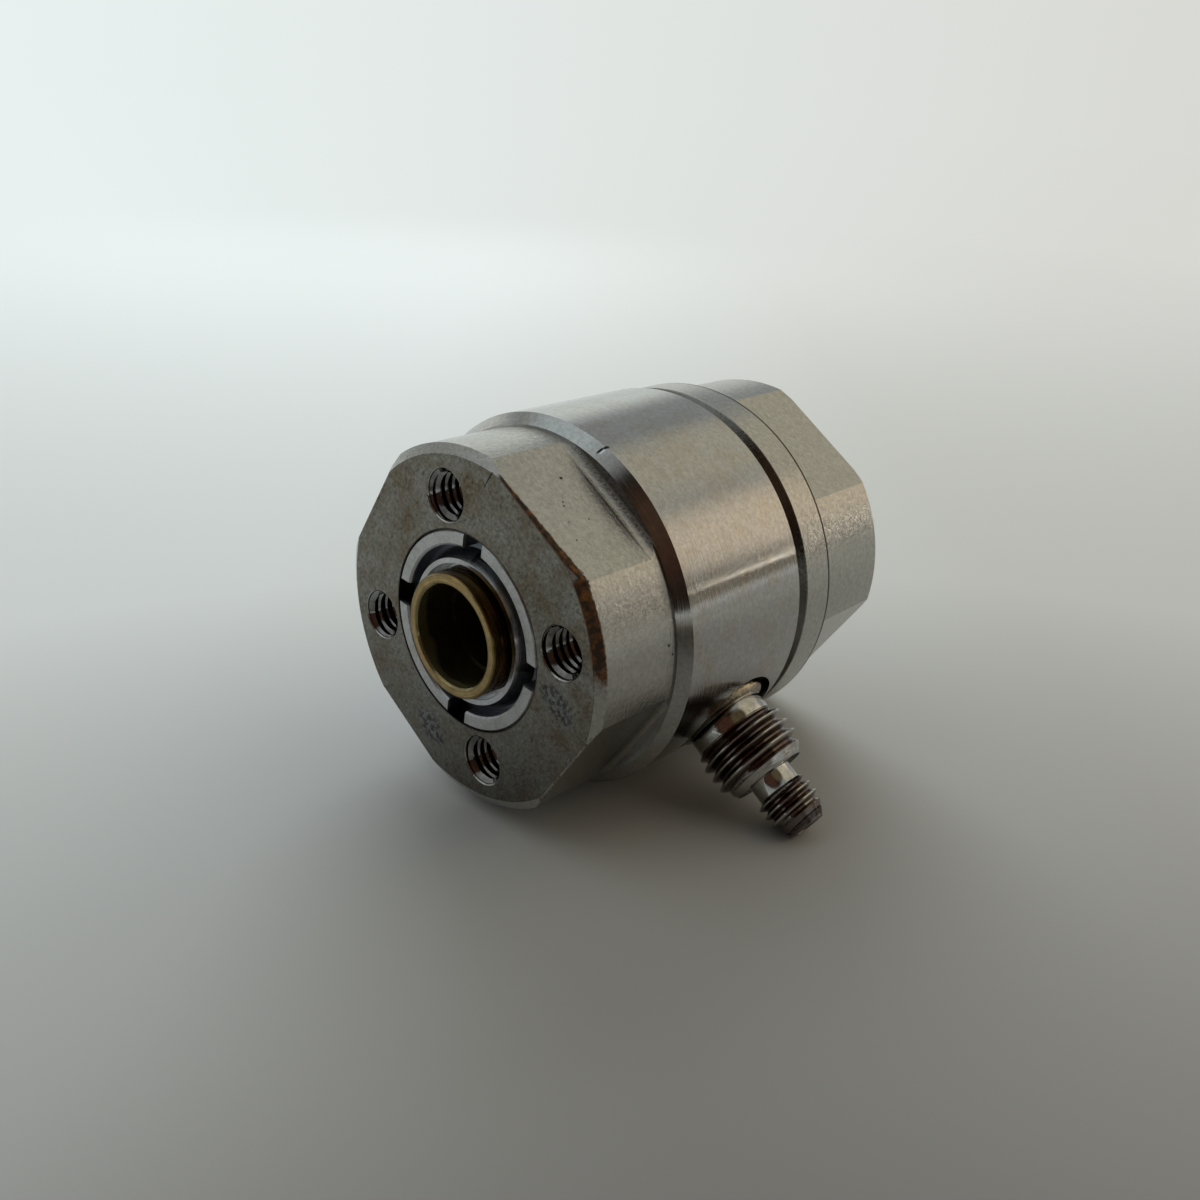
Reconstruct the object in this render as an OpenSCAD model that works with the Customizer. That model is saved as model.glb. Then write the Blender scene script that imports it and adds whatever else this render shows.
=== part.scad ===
// Press-force sensor: a quartz measuring cell clamped between two flanges by a
// hollow preload sleeve, with a side connector. It is drawn upright about Z, with
// the front face at z = 0 and the connector along +X, and then laid on its side
// as it rests: on the cell's case and on the tip of the connector.

/* [Preload sleeve] */
// Seat for a centring ring in each end of the sleeve: the size that all others go out from
seat_d = 10.1; // [9:0.1:12]
// Depth of that seat below the end face
seat_depth = 2.4; // [2:0.1:3]
// Width of the shoulder at the bottom of the seat
seat_shoulder_w = 1.1; // [0.9:0.1:1.6]
// How much wider than the seat the sleeve's front mouth is, on each side
mouth_w = 0.45; // [0.2:0.05:0.6]
// Depth of that mouth
mouth_depth = 1.2; // [0.8:0.1:1.6]
// Width of the flat rim at the front end of the sleeve
sleeve_rim_w = 0.4; // [0.2:0.05:0.6]
// Radial width of the bevel behind that rim
sleeve_bevel_w = 0.6; // [0.4:0.05:0.8]
// Axial length of that bevel
sleeve_bevel_l = 1.4; // [1:0.1:2]
// Length of the sleeve's thread
sleeve_thread_l = 6.0; // [5:0.1:7]
// How far the plain shank lies below the thread
thread_relief = 0.3; // [0.2:0.05:0.5]

/* [Ring nut and sleeve head] */
// Width of the recess round the sleeve in the face of the nut
nut_recess_w = 0.37; // [0.2:0.01:0.6]
// Depth of that recess
nut_recess_depth = 1.45; // [1:0.05:2]
// Width of the nut's face outside the recess
nut_face_w = 1.18; // [0.9:0.02:1.8]
// Length of the nut and of the sleeve's head
nut_l = 4.5; // [4:0.1:5]
// Width of the four spanner notches
notch_w = 2.1; // [1.6:0.1:2.6]
// Depth of the notches
notch_depth = 1.3; // [1:0.1:1.4]
// Angle from the connector to the first notch, where the nut came to a stop
nut_turn = 64; // [0:1:90]
// Edge break on the nut, the head and the sleeve
nut_edge_break = 0.15; // [0.05:0.05:0.2]

/* [Centring ring] */
// Wall of the brass ring
ring_wall = 0.87; // [0.6:0.01:1.1]
// How far the ring stands out of the front face
ring_stand_out = 1.32; // [1:0.02:2]
// Edge break on the ring
ring_edge_break = 0.15; // [0.05:0.05:0.2]

/* [Flanges] */
// Outer diameter of the thread in the four holes of each end face
bolt_d = 4.0; // [3:0.1:5]
// Land between the nut's pocket and the holes
bolt_land = 0.59; // [0.4:0.01:1.2]
// Land between the holes and the flange's rim
rim_land = 1.9; // [1.6:0.1:3]
// Depth of full thread in the holes
bolt_hole_l = 5.6; // [4:0.1:6]
// Depth of the thread, from its outer to its inner diameter
bolt_thread_h = 0.35; // [0.25:0.05:0.45]
// Countersink at the mouth of each hole
hole_mouth_chamfer = 0.15; // [0.1:0.05:0.2]
// Length of the front flange
front_flange_l = 7.85; // [7.5:0.05:10]
// Length of the rear flange behind its collar
rear_flange_l = 9.1; // [8.6:0.1:12]
// Depth of each of the four spanner flats
flat_depth = 1.2; // [0.8:0.1:1.6]
// Radius left by the cutter at the end of a flat
flat_fillet_r = 1.0; // [0.6:0.1:1.2]
// How far the cutter of the front flats runs on past the joint
flat_overrun = 0.2; // [0:0.05:0.4]
// Radial width of the chamfer at each end face
rim_chamfer_w = 0.77; // [0.3:0.01:1.0]
// Axial length of that chamfer
rim_chamfer_l = 0.46; // [0.3:0.01:1.0]
// Edge break where a flat meets the end face
flat_edge_break = 0.15; // [0.05:0.05:0.3]

/* [Rear collar] */
// How far the collar of the rear flange stands out past the flange
collar_proud = 0.8; // [0.6:0.1:1.2]
// Length of the collar
collar_l = 3.9; // [3.5:0.1:5]
// Chamfer at the front edge of the collar
collar_chamfer = 0.7; // [0.5:0.05:0.9]

/* [Measuring cell] */
// How far the case stands out past the flanges
case_proud = 1.0; // [0.9:0.1:1.4]
// Length of the case
case_l = 14.85; // [13:0.05:18]
// Wall of the case
case_wall = 2.5; // [1.8:0.1:2.8]
// Length of the cone at the front edge of the case
case_cone_l = 0.86; // [0.5:0.01:1.2]
// Step from the front flange up to the foot of that cone
case_step_h = 0.17; // [0.1:0.01:0.3]
// Chamfer at the rear edge of the case
case_rear_chamfer = 0.5; // [0.3:0.05:0.6]
// Open slit between the case and the rear flange
slit_w = 0.3; // [0.2:0.05:0.4]
// Thickness of each quartz ring
quartz_t = 2.0; // [1.5:0.1:2.4]
// Thickness of the electrode between the quartz rings
electrode_t = 0.2; // [0.1:0.05:0.3]
// Wall of the ring that centres the quartz in the case
outer_insulator_wall = 1.0; // [0.7:0.1:1.2]
// Wall of the tube that centres the quartz on the sleeve
inner_insulator_wall = 0.85; // [0.6:0.05:1.0]
// Wall of the sealing ring behind the slit
seal_wall = 1.2; // [1.0:0.1:1.3]
// Length of the sealing ring held on each side of the slit
seal_lap = 0.45; // [0.3:0.05:0.6]
// Diameter of the dowels that line up the flanges and the cell
dowel_d = 1.5; // [1.2:0.1:1.8]
// Length of each dowel
dowel_l = 4.0; // [3:0.1:5]

/* [Connector] */
// Hole in the case round the connector
port_d = 9.6; // [9.2:0.1:10.4]
// Wall left between that hole and the seat of the sealing ring
port_land = 0.22; // [0.1:0.02:1]
// Thickness of the socket's base in the hole
socket_base_t = 0.8; // [0.6:0.1:1]
// Diameter of the socket's collar
socket_d = 7.1; // [7:0.1:7.6]
// How far the socket ends below the case's surface
socket_sink = 0.1; // [0.05:0.05:0.3]
// Bore of the socket
socket_bore_d = 5.0; // [4.6:0.1:5.4]
// Length of the connector's spigot in the socket
spigot_l = 1.1; // [0.8:0.1:1.2]
// Diameter of the neck above the socket
neck_d = 6.9; // [6.4:0.1:7]
// Length of the neck
neck_l = 1.4; // [1:0.1:2]
// Width of the thread relief behind the coupling thread
relief_l = 0.15; // [0.1:0.05:0.3]
// Depth of that relief below the neck
relief_depth = 0.25; // [0.1:0.05:0.4]
// Outer diameter of the coupling thread
coupling_thread_d = 8.0; // [7.8:0.1:8.4]
// Length of the coupling thread with its end chamfer
coupling_thread_l = 4.4; // [4:0.1:6]
// Radial width of the chamfer at the end of the coupling thread
coupling_chamfer_w = 0.9; // [0.6:0.1:1.2]
// Length of that chamfer
coupling_chamfer_l = 1.3; // [0.8:0.1:1.6]
// Diameter of the stem between the two threads
stem_d = 3.8; // [3.6:0.1:4.2]
// Length of the stem
stem_l = 1.4; // [1:0.1:2]
// Outer diameter of the cable thread
cable_thread_d = 4.8; // [4.6:0.05:5]
// Length of the cable thread with the long chamfer of the tip
cable_thread_l = 3.65; // [3.2:0.05:5]
// Radial width of the tip's chamfer
tip_chamfer_w = 0.95; // [0.5:0.05:1.1]
// Length of that chamfer
tip_chamfer_l = 1.7; // [1:0.1:2.2]
// Bore of the connector
connector_bore_d = 2.3; // [2:0.1:2.4]
// Diameter of the centre contact
contact_d = 0.9; // [0.8:0.05:1.1]
// Hole in the end of the centre contact
contact_hole_d = 0.5; // [0.4:0.05:0.55]
// Depth of that hole
contact_hole_l = 3.0; // [2:0.5:5]
// How far the insulator and the contact end inside the tip
insulator_sink = 0.3; // [0.2:0.1:0.6]
// Diameter of the wire from the electrode to the contact
lead_d = 0.7; // [0.5:0.05:0.75]

/* [Fits] */
// Radial clearance of a close fit
close_fit = 0.03; // [0.02:0.01:0.05]
// Radial clearance of a free fit
free_fit = 0.12; // [0.1:0.01:0.15]

/* [Hidden] */
$fn = 96;
drill_point = 59;

seat_r = seat_d / 2;
ring_r = seat_r - close_fit;
ring_bore_r = ring_r - ring_wall;
sleeve_bore_r = seat_r - seat_shoulder_w;
mouth_r = seat_r + mouth_w;
sleeve_rim_r = mouth_r + sleeve_rim_w;
thread_r = sleeve_rim_r + sleeve_bevel_w;
shank_r = thread_r - thread_relief;
nut_bore_r = thread_r + close_fit;
nut_recess_r = nut_bore_r + nut_recess_w;
nut_r = nut_recess_r + nut_face_w;
pocket_r = nut_r + close_fit;
bolt_r = bolt_d / 2;
bolt_circle_r = pocket_r + bolt_land + bolt_r;
flange_r = bolt_circle_r + bolt_r + rim_land;
flat_r = flange_r - flat_depth;
case_r = flange_r + case_proud;
collar_r = flange_r + collar_proud;
cutter = 2 * case_r;

case_z = front_flange_l;
case_end_z = case_z + case_l;
collar_z = case_end_z + slit_w;
rear_joint_z = collar_z + seal_lap + close_fit;
rear_z = collar_z + collar_l;
end_z = rear_z + rear_flange_l;
seal_seat_z = case_end_z - seal_lap - close_fit;
port_r = port_d / 2;
port_z = seal_seat_z - port_land - port_r;

case_bore_r = case_r - case_wall;
plate_r = case_bore_r - close_fit;
plate_bore_r = thread_r + free_fit;
quartz_front_z = port_z - electrode_t / 2 - quartz_t;
quartz_rear_z = port_z + electrode_t / 2;
stack_end_z = quartz_rear_z + quartz_t;
inner_insulator_r = shank_r + free_fit;
quartz_r = plate_r - outer_insulator_wall - free_fit;
quartz_bore_r = inner_insulator_r + inner_insulator_wall + free_fit;
seal_bore_r = case_bore_r + close_fit;
seal_r = seal_bore_r + seal_wall;

socket_x = case_bore_r;
socket_end_x = case_r - socket_sink;
neck_end_x = socket_end_x + neck_l;
coupling_x = neck_end_x + relief_l;
coupling_end_x = coupling_x + coupling_thread_l;
cable_thread_x = coupling_end_x + stem_l;
tip_end_x = cable_thread_x + cable_thread_l;
tip_x = tip_end_x - tip_chamfer_l;
cable_r = cable_thread_d / 2;
tip_r = cable_r - tip_chamfer_w;
spigot_x = socket_end_x - spigot_l;
contact_end_x = tip_end_x - insulator_sink;
lead_x = quartz_r + free_fit / 2;

// The case's underside and whichever edge of the tip's chamfer comes down first
// stand on one floor
function roll_at(r, x) = asin(case_r / sqrt(pow(x, 2) + pow(r, 2))) - atan(r / x);
lie_roll = min(roll_at(tip_r, tip_end_x), roll_at(cable_r, tip_x));

// Turns the upright drawing on its side, as the sensor rests
module lay_down() {
    rotate([-90, 0, 0]) rotate([0, 0, lie_roll]) children();
}

// Solid of revolution about the sensor's axis from an outline of [radius, z]
module turned(outline) {
    rotate_extrude() polygon(outline);
}

// Plain tube about the sensor's axis
module tube(r_in, r_out, z0, z1) {
    turned([[r_in, z0], [r_out, z0], [r_out, z1], [r_in, z1]]);
}

// Solid of revolution about the connector's axis from an outline of [radius, x]
module connector_turned(outline) {
    translate([0, 0, port_z]) rotate([0, 90, 0]) rotate_extrude($fn = 64) polygon(outline);
}

// Section that one spanner flat removes: its inner corner keeps the cutter's
// radius, and a small bevel breaks the edge at the end face, v = 0
module flat_section(length) {
    corner_u = flat_r + flat_fillet_r;
    corner_v = length - flat_fillet_r;
    translate([corner_u, corner_v]) circle(flat_fillet_r);
    translate([flat_r, -1]) square([cutter, corner_v + 1]);
    translate([corner_u, -1]) square([cutter, length + 1]);
    polygon([
        [flat_r - 2 * flat_edge_break, -flat_edge_break], [flat_r + flat_edge_break, -flat_edge_break],
        [flat_r + flat_edge_break, flat_edge_break], [flat_r, flat_edge_break]]);
}

// The four spanner flats of one flange, counted from its end face at z = 0
module flats(length) {
    for (turn = [0:90:270])
        rotate([0, 0, turn]) rotate([90, 0, 0])
            linear_extrude(2 * case_r, center = true) flat_section(length);
}

// The four threaded holes of one flange, cut to the thread's outer diameter
module bolt_holes() {
    mouth = bolt_r + hole_mouth_chamfer;
    drill_r = bolt_r - bolt_thread_h;
    for (turn = [45:90:315])
        rotate([0, 0, turn]) translate([bolt_circle_r, 0, 0])
            rotate_extrude($fn = 48) polygon([
                [0, -1], [mouth, -1], [mouth, 0], [bolt_r, hole_mouth_chamfer],
                [bolt_r, bolt_hole_l], [drill_r, bolt_hole_l],
                [0, bolt_hole_l + drill_r / tan(drill_point)]]);
}

// Two dowels, or with some play the holes for them
module dowel_pair(z0, z1, play = 0) {
    for (side = [0, 180])
        rotate([0, 0, side]) translate([bolt_circle_r, 0, z0])
            cylinder(h = z1 - z0, r = dowel_d / 2 + play, $fn = 32);
}

// Four notches for a pin spanner across a nut or head whose face is at z = 0
module notches() {
    for (turn = [0:90:270])
        rotate([0, 0, nut_turn + turn]) translate([mouth_r, -notch_w / 2, -1])
            cube([nut_r, notch_w, notch_depth + 1]);
}

// Mirrors a rear piece drawn from its end face, so that the face lies at the back
module from_rear() {
    translate([0, 0, end_z]) mirror([0, 0, 1]) children();
}

module front_flange() {
    color("#8f8b84") lay_down() difference() {
        turned([
            [plate_bore_r, nut_l], [pocket_r, nut_l], [pocket_r, 0],
            [flange_r - rim_chamfer_w, 0], [flange_r, rim_chamfer_l],
            [flange_r, front_flange_l], [plate_bore_r, front_flange_l]]);
        flats(front_flange_l + flat_overrun);
        bolt_holes();
        dowel_pair(front_flange_l - dowel_l / 2, front_flange_l + 1, close_fit);
    }
}

// The rear flange carries a collar that lines up with the case across the slit
module rear_flange() {
    back = end_z - rear_z;
    front = end_z - collar_z;
    joint = end_z - rear_joint_z;
    color("#8f8b84") lay_down() from_rear() difference() {
        turned([
            [plate_bore_r, nut_l], [pocket_r, nut_l], [pocket_r, 0],
            [flange_r - rim_chamfer_w, 0], [flange_r, rim_chamfer_l],
            [flange_r, back], [collar_r, back], [collar_r, front - collar_chamfer],
            [collar_r - collar_chamfer, front], [seal_r + close_fit, front],
            [seal_r + close_fit, joint], [plate_bore_r, joint]]);
        flats(back);
        bolt_holes();
        dowel_pair(joint - dowel_l / 2, joint + 1, close_fit);
    }
}

// Hollow bolt through the whole sensor: head at the rear, thread at the front
module preload_sleeve() {
    head_z = end_z - nut_l;
    thread_end_z = sleeve_bevel_l + sleeve_thread_l;
    color("#a9adb0") lay_down() difference() {
        turned([
            [sleeve_bore_r, seat_depth], [seat_r, seat_depth], [seat_r, mouth_depth],
            [mouth_r, mouth_depth], [mouth_r, 0], [sleeve_rim_r, 0],
            [thread_r, sleeve_bevel_l], [thread_r, thread_end_z], [shank_r, thread_end_z],
            [shank_r, head_z], [nut_r, head_z], [nut_r, end_z - nut_edge_break],
            [nut_r - nut_edge_break, end_z], [seat_r + nut_edge_break, end_z],
            [seat_r, end_z - nut_edge_break], [seat_r, end_z - seat_depth],
            [sleeve_bore_r, end_z - seat_depth]]);
        from_rear() notches();
    }
}

// Slotted round nut that draws the sleeve tight, flush with the front face
module ring_nut() {
    color("#b9bcc0") lay_down() difference() {
        turned([
            [nut_bore_r, nut_l], [nut_bore_r, nut_recess_depth],
            [nut_recess_r, nut_recess_depth], [nut_recess_r, nut_edge_break],
            [nut_recess_r + nut_edge_break, 0], [nut_r - nut_edge_break, 0],
            [nut_r, nut_edge_break], [nut_r, nut_l]]);
        notches();
    }
}

// Brass ring that centres the sensor on a neighbour: it sits in the sleeve's seat
module centring_ring() {
    color("#b59a5e") lay_down() turned([
        [ring_bore_r, -ring_stand_out + ring_edge_break],
        [ring_bore_r + ring_edge_break, -ring_stand_out],
        [ring_r - ring_edge_break, -ring_stand_out],
        [ring_r, -ring_stand_out + ring_edge_break],
        [ring_r, seat_depth], [ring_bore_r, seat_depth]]);
}

// Outer case of the cell, with the coned front edge and the connector's port
module cell_case() {
    color("#a49f96") lay_down() difference() {
        turned([
            [case_bore_r, case_z], [flange_r + case_step_h, case_z],
            [case_r, case_z + case_cone_l], [case_r, case_end_z - case_rear_chamfer],
            [case_r - case_rear_chamfer, case_end_z], [seal_r + close_fit, case_end_z],
            [seal_r + close_fit, seal_seat_z], [case_bore_r, seal_seat_z]]);
        translate([0, 0, port_z]) rotate([0, 90, 0]) cylinder(h = cutter, r = port_r);
    }
}

module front_load_plate() {
    color("#9aa0a6") lay_down() difference() {
        tube(plate_bore_r, plate_r, case_z, quartz_front_z);
        dowel_pair(case_z - 1, case_z + dowel_l / 2, close_fit);
    }
}

// The rear plate passes through the sealing ring and bears on the rear flange
module rear_load_plate() {
    color("#9aa0a6") lay_down() difference() {
        tube(plate_bore_r, plate_r, stack_end_z, rear_joint_z);
        dowel_pair(rear_joint_z - dowel_l / 2, rear_joint_z + 1, close_fit);
    }
}

module front_quartz_ring() {
    color("#dfe8ee") lay_down() tube(quartz_bore_r, quartz_r, quartz_front_z, quartz_front_z + quartz_t);
}

module rear_quartz_ring() {
    color("#dfe8ee") lay_down() tube(quartz_bore_r, quartz_r, quartz_rear_z, stack_end_z);
}

// Thin ring that collects the charge, with a tab towards the connector
module electrode() {
    color("#c9b26a") lay_down() union() {
        tube(quartz_bore_r, quartz_r, port_z - electrode_t / 2, port_z + electrode_t / 2);
        translate([quartz_bore_r + 1, -lead_d, port_z - electrode_t / 2])
            cube([lead_x - quartz_bore_r - 1, 2 * lead_d, electrode_t]);
    }
}

module outer_insulator() {
    color("#d8cfae") lay_down() difference() {
        tube(quartz_r + free_fit, plate_r, quartz_front_z, stack_end_z);
        translate([0, 0, port_z]) rotate([0, 90, 0])
            cylinder(h = cutter, r = lead_d / 2 + free_fit, $fn = 32);
    }
}

module inner_insulator() {
    color("#f0f0ea") lay_down()
        tube(inner_insulator_r, quartz_bore_r - free_fit, quartz_front_z, stack_end_z);
}

// Thin-walled ring that closes the slit between case and rear flange
module seal_ring() {
    color("#7d7a78") lay_down()
        tube(seal_bore_r, seal_r, case_end_z - seal_lap, collar_z + seal_lap);
}

// Socket welded into the case's port: a base disc with a short collar
module connector_socket() {
    color("#8c8a86") lay_down() connector_turned([
        [socket_bore_d / 2, socket_x], [port_r - close_fit, socket_x],
        [port_r - close_fit, socket_x + socket_base_t],
        [socket_d / 2, socket_x + socket_base_t], [socket_d / 2, socket_end_x],
        [socket_bore_d / 2, socket_end_x]]);
}

// One turned piece: spigot, neck, coupling thread, stem, cable thread and tip
module connector_body() {
    bore_r = connector_bore_d / 2;
    coupling_r = coupling_thread_d / 2;
    relief_r = neck_d / 2 - relief_depth;
    color("#b3b1ad") lay_down() connector_turned([
        [bore_r, spigot_x], [socket_bore_d / 2 - close_fit, spigot_x],
        [socket_bore_d / 2 - close_fit, socket_end_x], [neck_d / 2, socket_end_x],
        [neck_d / 2, neck_end_x], [relief_r, neck_end_x], [relief_r, coupling_x],
        [coupling_r, coupling_x], [coupling_r, coupling_end_x - coupling_chamfer_l],
        [coupling_r - coupling_chamfer_w, coupling_end_x], [stem_d / 2, coupling_end_x],
        [stem_d / 2, cable_thread_x], [cable_r, cable_thread_x], [cable_r, tip_x],
        [tip_r, tip_end_x], [bore_r, tip_end_x]]);
}

module connector_insulator() {
    color("#f4f3ee") lay_down() connector_turned([
        [contact_d / 2 + close_fit, spigot_x], [connector_bore_d / 2 - close_fit, spigot_x],
        [connector_bore_d / 2 - close_fit, contact_end_x],
        [contact_d / 2 + close_fit, contact_end_x]]);
}

// Socket contact on the connector's axis, drilled for the plug's pin
module centre_contact() {
    color("#cfae52") lay_down() connector_turned([
        [0, spigot_x], [contact_d / 2, spigot_x], [contact_d / 2, contact_end_x],
        [contact_hole_d / 2, contact_end_x],
        [contact_hole_d / 2, contact_end_x - contact_hole_l],
        [0, contact_end_x - contact_hole_l]]);
}

// Ceramic bead that carries the lead through the socket
module feedthrough_insulator() {
    color("#e9e4d6") lay_down() connector_turned([
        [lead_d / 2 + close_fit, socket_x], [socket_bore_d / 2 - close_fit, socket_x],
        [socket_bore_d / 2 - close_fit, spigot_x], [lead_d / 2 + close_fit, spigot_x]]);
}

module electrode_lead() {
    color("#cfae52") lay_down() connector_turned([
        [0, lead_x], [lead_d / 2, lead_x],
        [lead_d / 2, spigot_x], [0, spigot_x]]);
}

module front_dowels() {
    color("#6f7276") lay_down() dowel_pair(case_z - dowel_l / 2, case_z + dowel_l / 2);
}

module rear_dowels() {
    color("#6f7276") lay_down() dowel_pair(rear_joint_z - dowel_l / 2, rear_joint_z + dowel_l / 2);
}

front_flange();
rear_flange();
preload_sleeve();
ring_nut();
centring_ring();
cell_case();
front_load_plate();
rear_load_plate();
front_quartz_ring();
rear_quartz_ring();
electrode();
outer_insulator();
inner_insulator();
seal_ring();
connector_socket();
connector_body();
connector_insulator();
centre_contact();
feedthrough_insulator();
electrode_lead();
front_dowels();
rear_dowels();
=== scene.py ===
# %% [markdown]
# # A piezoelectric force transducer, finished in Blender
# The CAD model gives every piece of this press-force sensor its shape and place.
# This lesson dresses it: camera and studio first, then the steel, brass and
# threads, each finish made from what the machinist did to the real piece.

import math

import bmesh
import bpy
from mathutils import Matrix, Vector


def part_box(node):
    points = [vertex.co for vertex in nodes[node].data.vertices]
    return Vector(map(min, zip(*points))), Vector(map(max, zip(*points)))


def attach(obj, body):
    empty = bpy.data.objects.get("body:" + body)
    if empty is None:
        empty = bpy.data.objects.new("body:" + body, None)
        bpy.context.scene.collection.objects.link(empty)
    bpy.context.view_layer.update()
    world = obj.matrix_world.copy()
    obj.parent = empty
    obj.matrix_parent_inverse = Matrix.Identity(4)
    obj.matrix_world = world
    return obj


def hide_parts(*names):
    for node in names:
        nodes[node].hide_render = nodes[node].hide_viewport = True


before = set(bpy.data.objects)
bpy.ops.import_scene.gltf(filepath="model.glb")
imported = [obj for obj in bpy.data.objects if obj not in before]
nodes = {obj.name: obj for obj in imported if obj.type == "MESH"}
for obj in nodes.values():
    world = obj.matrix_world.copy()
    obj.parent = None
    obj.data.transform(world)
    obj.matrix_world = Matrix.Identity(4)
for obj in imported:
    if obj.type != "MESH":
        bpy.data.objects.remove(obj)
bpy.context.view_layer.update()

# %% [markdown]
# ## Sizes read from the frame
# The sensor's axis is Y, with the front face at y = 0. It lies on its case, and the
# connector points down and to the side. That direction follows from the box of a
# plain tube inside the connector, and threads and flats are lined up with it. The
# sizes could be typed in, but read this way they follow the CAD model.

# %% Sizes in metres
MM = 0.001
FLOOR_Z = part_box("cell_case")[0].z
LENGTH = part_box("rear_flange")[1].y
PORT_Y = sum(corner.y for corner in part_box("connector_body")) / 2
insulator_low, insulator_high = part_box("connector_insulator")
LIE_ROLL = math.atan2(-insulator_low.z - insulator_high.z, insulator_low.x + insulator_high.x)
OUTWARD = Vector((math.cos(LIE_ROLL), 0, -math.sin(LIE_ROLL)))
print("lies at", round(math.degrees(LIE_ROLL), 2), "degrees, port at y", round(PORT_Y / MM, 2), "mm")

# %% [markdown]
# ## The camera
# A wide lens stands close to the small sensor, so the perspective is strong. It could
# be placed by eye, but here its place and the three directions of its frame come from
# lining up the sensor's edges, which brings each of them within a pixel or two.

# %% Camera
CAMERA_AT = Vector((60.350, -51.238, 38.598)) * MM
CAMERA_LOOKS = Vector((-0.6129, 0.6759, -0.4092)).normalized()
CAMERA_UP = Vector((-0.3185, 0.2628, 0.9108))
FOCAL_PX = 1139.36
IMAGE_PX = 1200
SENSOR_MM = 36

camera_right = CAMERA_LOOKS.cross(CAMERA_UP).normalized()
camera_up = camera_right.cross(CAMERA_LOOKS)
camera_data = bpy.data.cameras.new("camera")
camera_data.sensor_width = SENSOR_MM
camera_data.lens = FOCAL_PX * SENSOR_MM / IMAGE_PX
camera_data.clip_start = 5 * MM
camera = bpy.data.objects.new("camera", camera_data)
turn = Matrix((camera_right, camera_up, -CAMERA_LOOKS)).transposed()
camera.matrix_world = Matrix.Translation(CAMERA_AT) @ turn.to_4x4()
bpy.context.scene.collection.objects.link(camera)
bpy.context.scene.camera = camera
print("lens", round(camera_data.lens, 2), "mm")

# %% [markdown]
# ## Helpers for materials
# Materials could be drawn in the node editor, but a script can repeat one exactly.
# Colours are written as sRGB hex values, as a colour picker shows them, and one
# function turns them to linear light. Another adds a node with its settings and links.
# On a Mix node, socket 0 is the share, 2 and 3 are numbers, and 6 and 7 are colours.

# %% Material helpers
def linear(hex_colour):
    """sRGB hex, such as "#b59a5e", as linear RGBA."""
    channels = [int(hex_colour[i:i + 2], 16) / 255 for i in (1, 3, 5)]
    return [c / 12.92 if c <= 0.04045 else ((c + 0.055) / 1.055) ** 2.4 for c in channels] + [1]


def give(tree, value, socket):
    """Sets a socket to a value, or links it to an output or to a node's first output in use."""
    if isinstance(value, bpy.types.Node):
        value = next(output for output in value.outputs if output.enabled)
    if isinstance(value, bpy.types.NodeSocket):
        tree.links.new(value, socket)
    else:
        socket.default_value = value


def add(tree, kind, inputs=None, **settings):
    """Adds a node. inputs maps a socket's name or number to a value, an output or a node."""
    node = tree.nodes.new(kind)
    for name, value in settings.items():
        setattr(node, name, value)
    for socket, value in (inputs or {}).items():
        give(tree, value, node.inputs[socket])
    return node


def start_material(name):
    """An empty material and its node tree."""
    material = bpy.data.materials.new(name)
    material.use_nodes = True
    material.node_tree.nodes.clear()
    return material, material.node_tree


# %% [markdown]
# ## The studio
# The sensor lies on backdrop paper, painted grey round the front as painted shade and
# white farther off. The paper could be a curved sheet, but a flat one that glows softly
# far off looks the same and keeps the sensor's shadow.

# %% Backdrop colours
VIEW_ALONG = Vector((CAMERA_LOOKS.x, CAMERA_LOOKS.y, 0)).normalized()
VIEW_RIGHT = Vector((VIEW_ALONG.y, -VIEW_ALONG.x, 0))
SIDE_REACH = 0.45


def backdrop_colour(tree, direction):
    """Cool white on the left of the picture, slightly duller and warmer on the right."""
    across = add(tree, "ShaderNodeVectorMath", {0: direction, 1: VIEW_RIGHT},
                 operation="DOT_PRODUCT")
    side = add(tree, "ShaderNodeMapRange", {
        "Value": across, "From Min": -SIDE_REACH, "From Max": SIDE_REACH})
    return add(tree, "ShaderNodeMix", {0: side, 6: linear("#e8f1f0"), 7: linear("#d8d8d3")},
               data_type="RGBA")


# %% Sheet of paper
PAPER_R = 2.5

paper_bm = bmesh.new()
bmesh.ops.create_circle(paper_bm, cap_ends=True, segments=96, radius=PAPER_R)
bmesh.ops.translate(paper_bm, verts=paper_bm.verts, vec=(0, 0, FLOOR_Z))
paper_mesh = bpy.data.meshes.new("paper")
paper_bm.to_mesh(paper_mesh)
paper_bm.free()
paper = bpy.data.objects.new("paper", paper_mesh)
bpy.context.scene.collection.objects.link(paper)
print("paper", 2 * PAPER_R, "m across at z", round(FLOOR_Z / MM, 1), "mm")

# %% [markdown]
# Matt paper is the plainest material: one diffuse shader. Its colour is painted shade:
# grey in rings round a point in front of the sensor, warmer and a little darker to the
# right, and darker again where the camera stands over it, which turns the low
# reflections in the steel dark.

# %% Painted shade on the paper
SHADE_CENTRE = -0.1 * VIEW_ALONG + 0.038 * VIEW_RIGHT
GREY_TO, WHITE_FROM = 0.05, 0.156
WARM_FROM, WARM_TO = -0.03, 0.06
CAMERA_SHADE_CENTRE = Vector((CAMERA_AT.x, CAMERA_AT.y, 0)) * 1.2
CAMERA_SHADE_FROM, CAMERA_SHADE_TO = 0.01, 0.075
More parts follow.
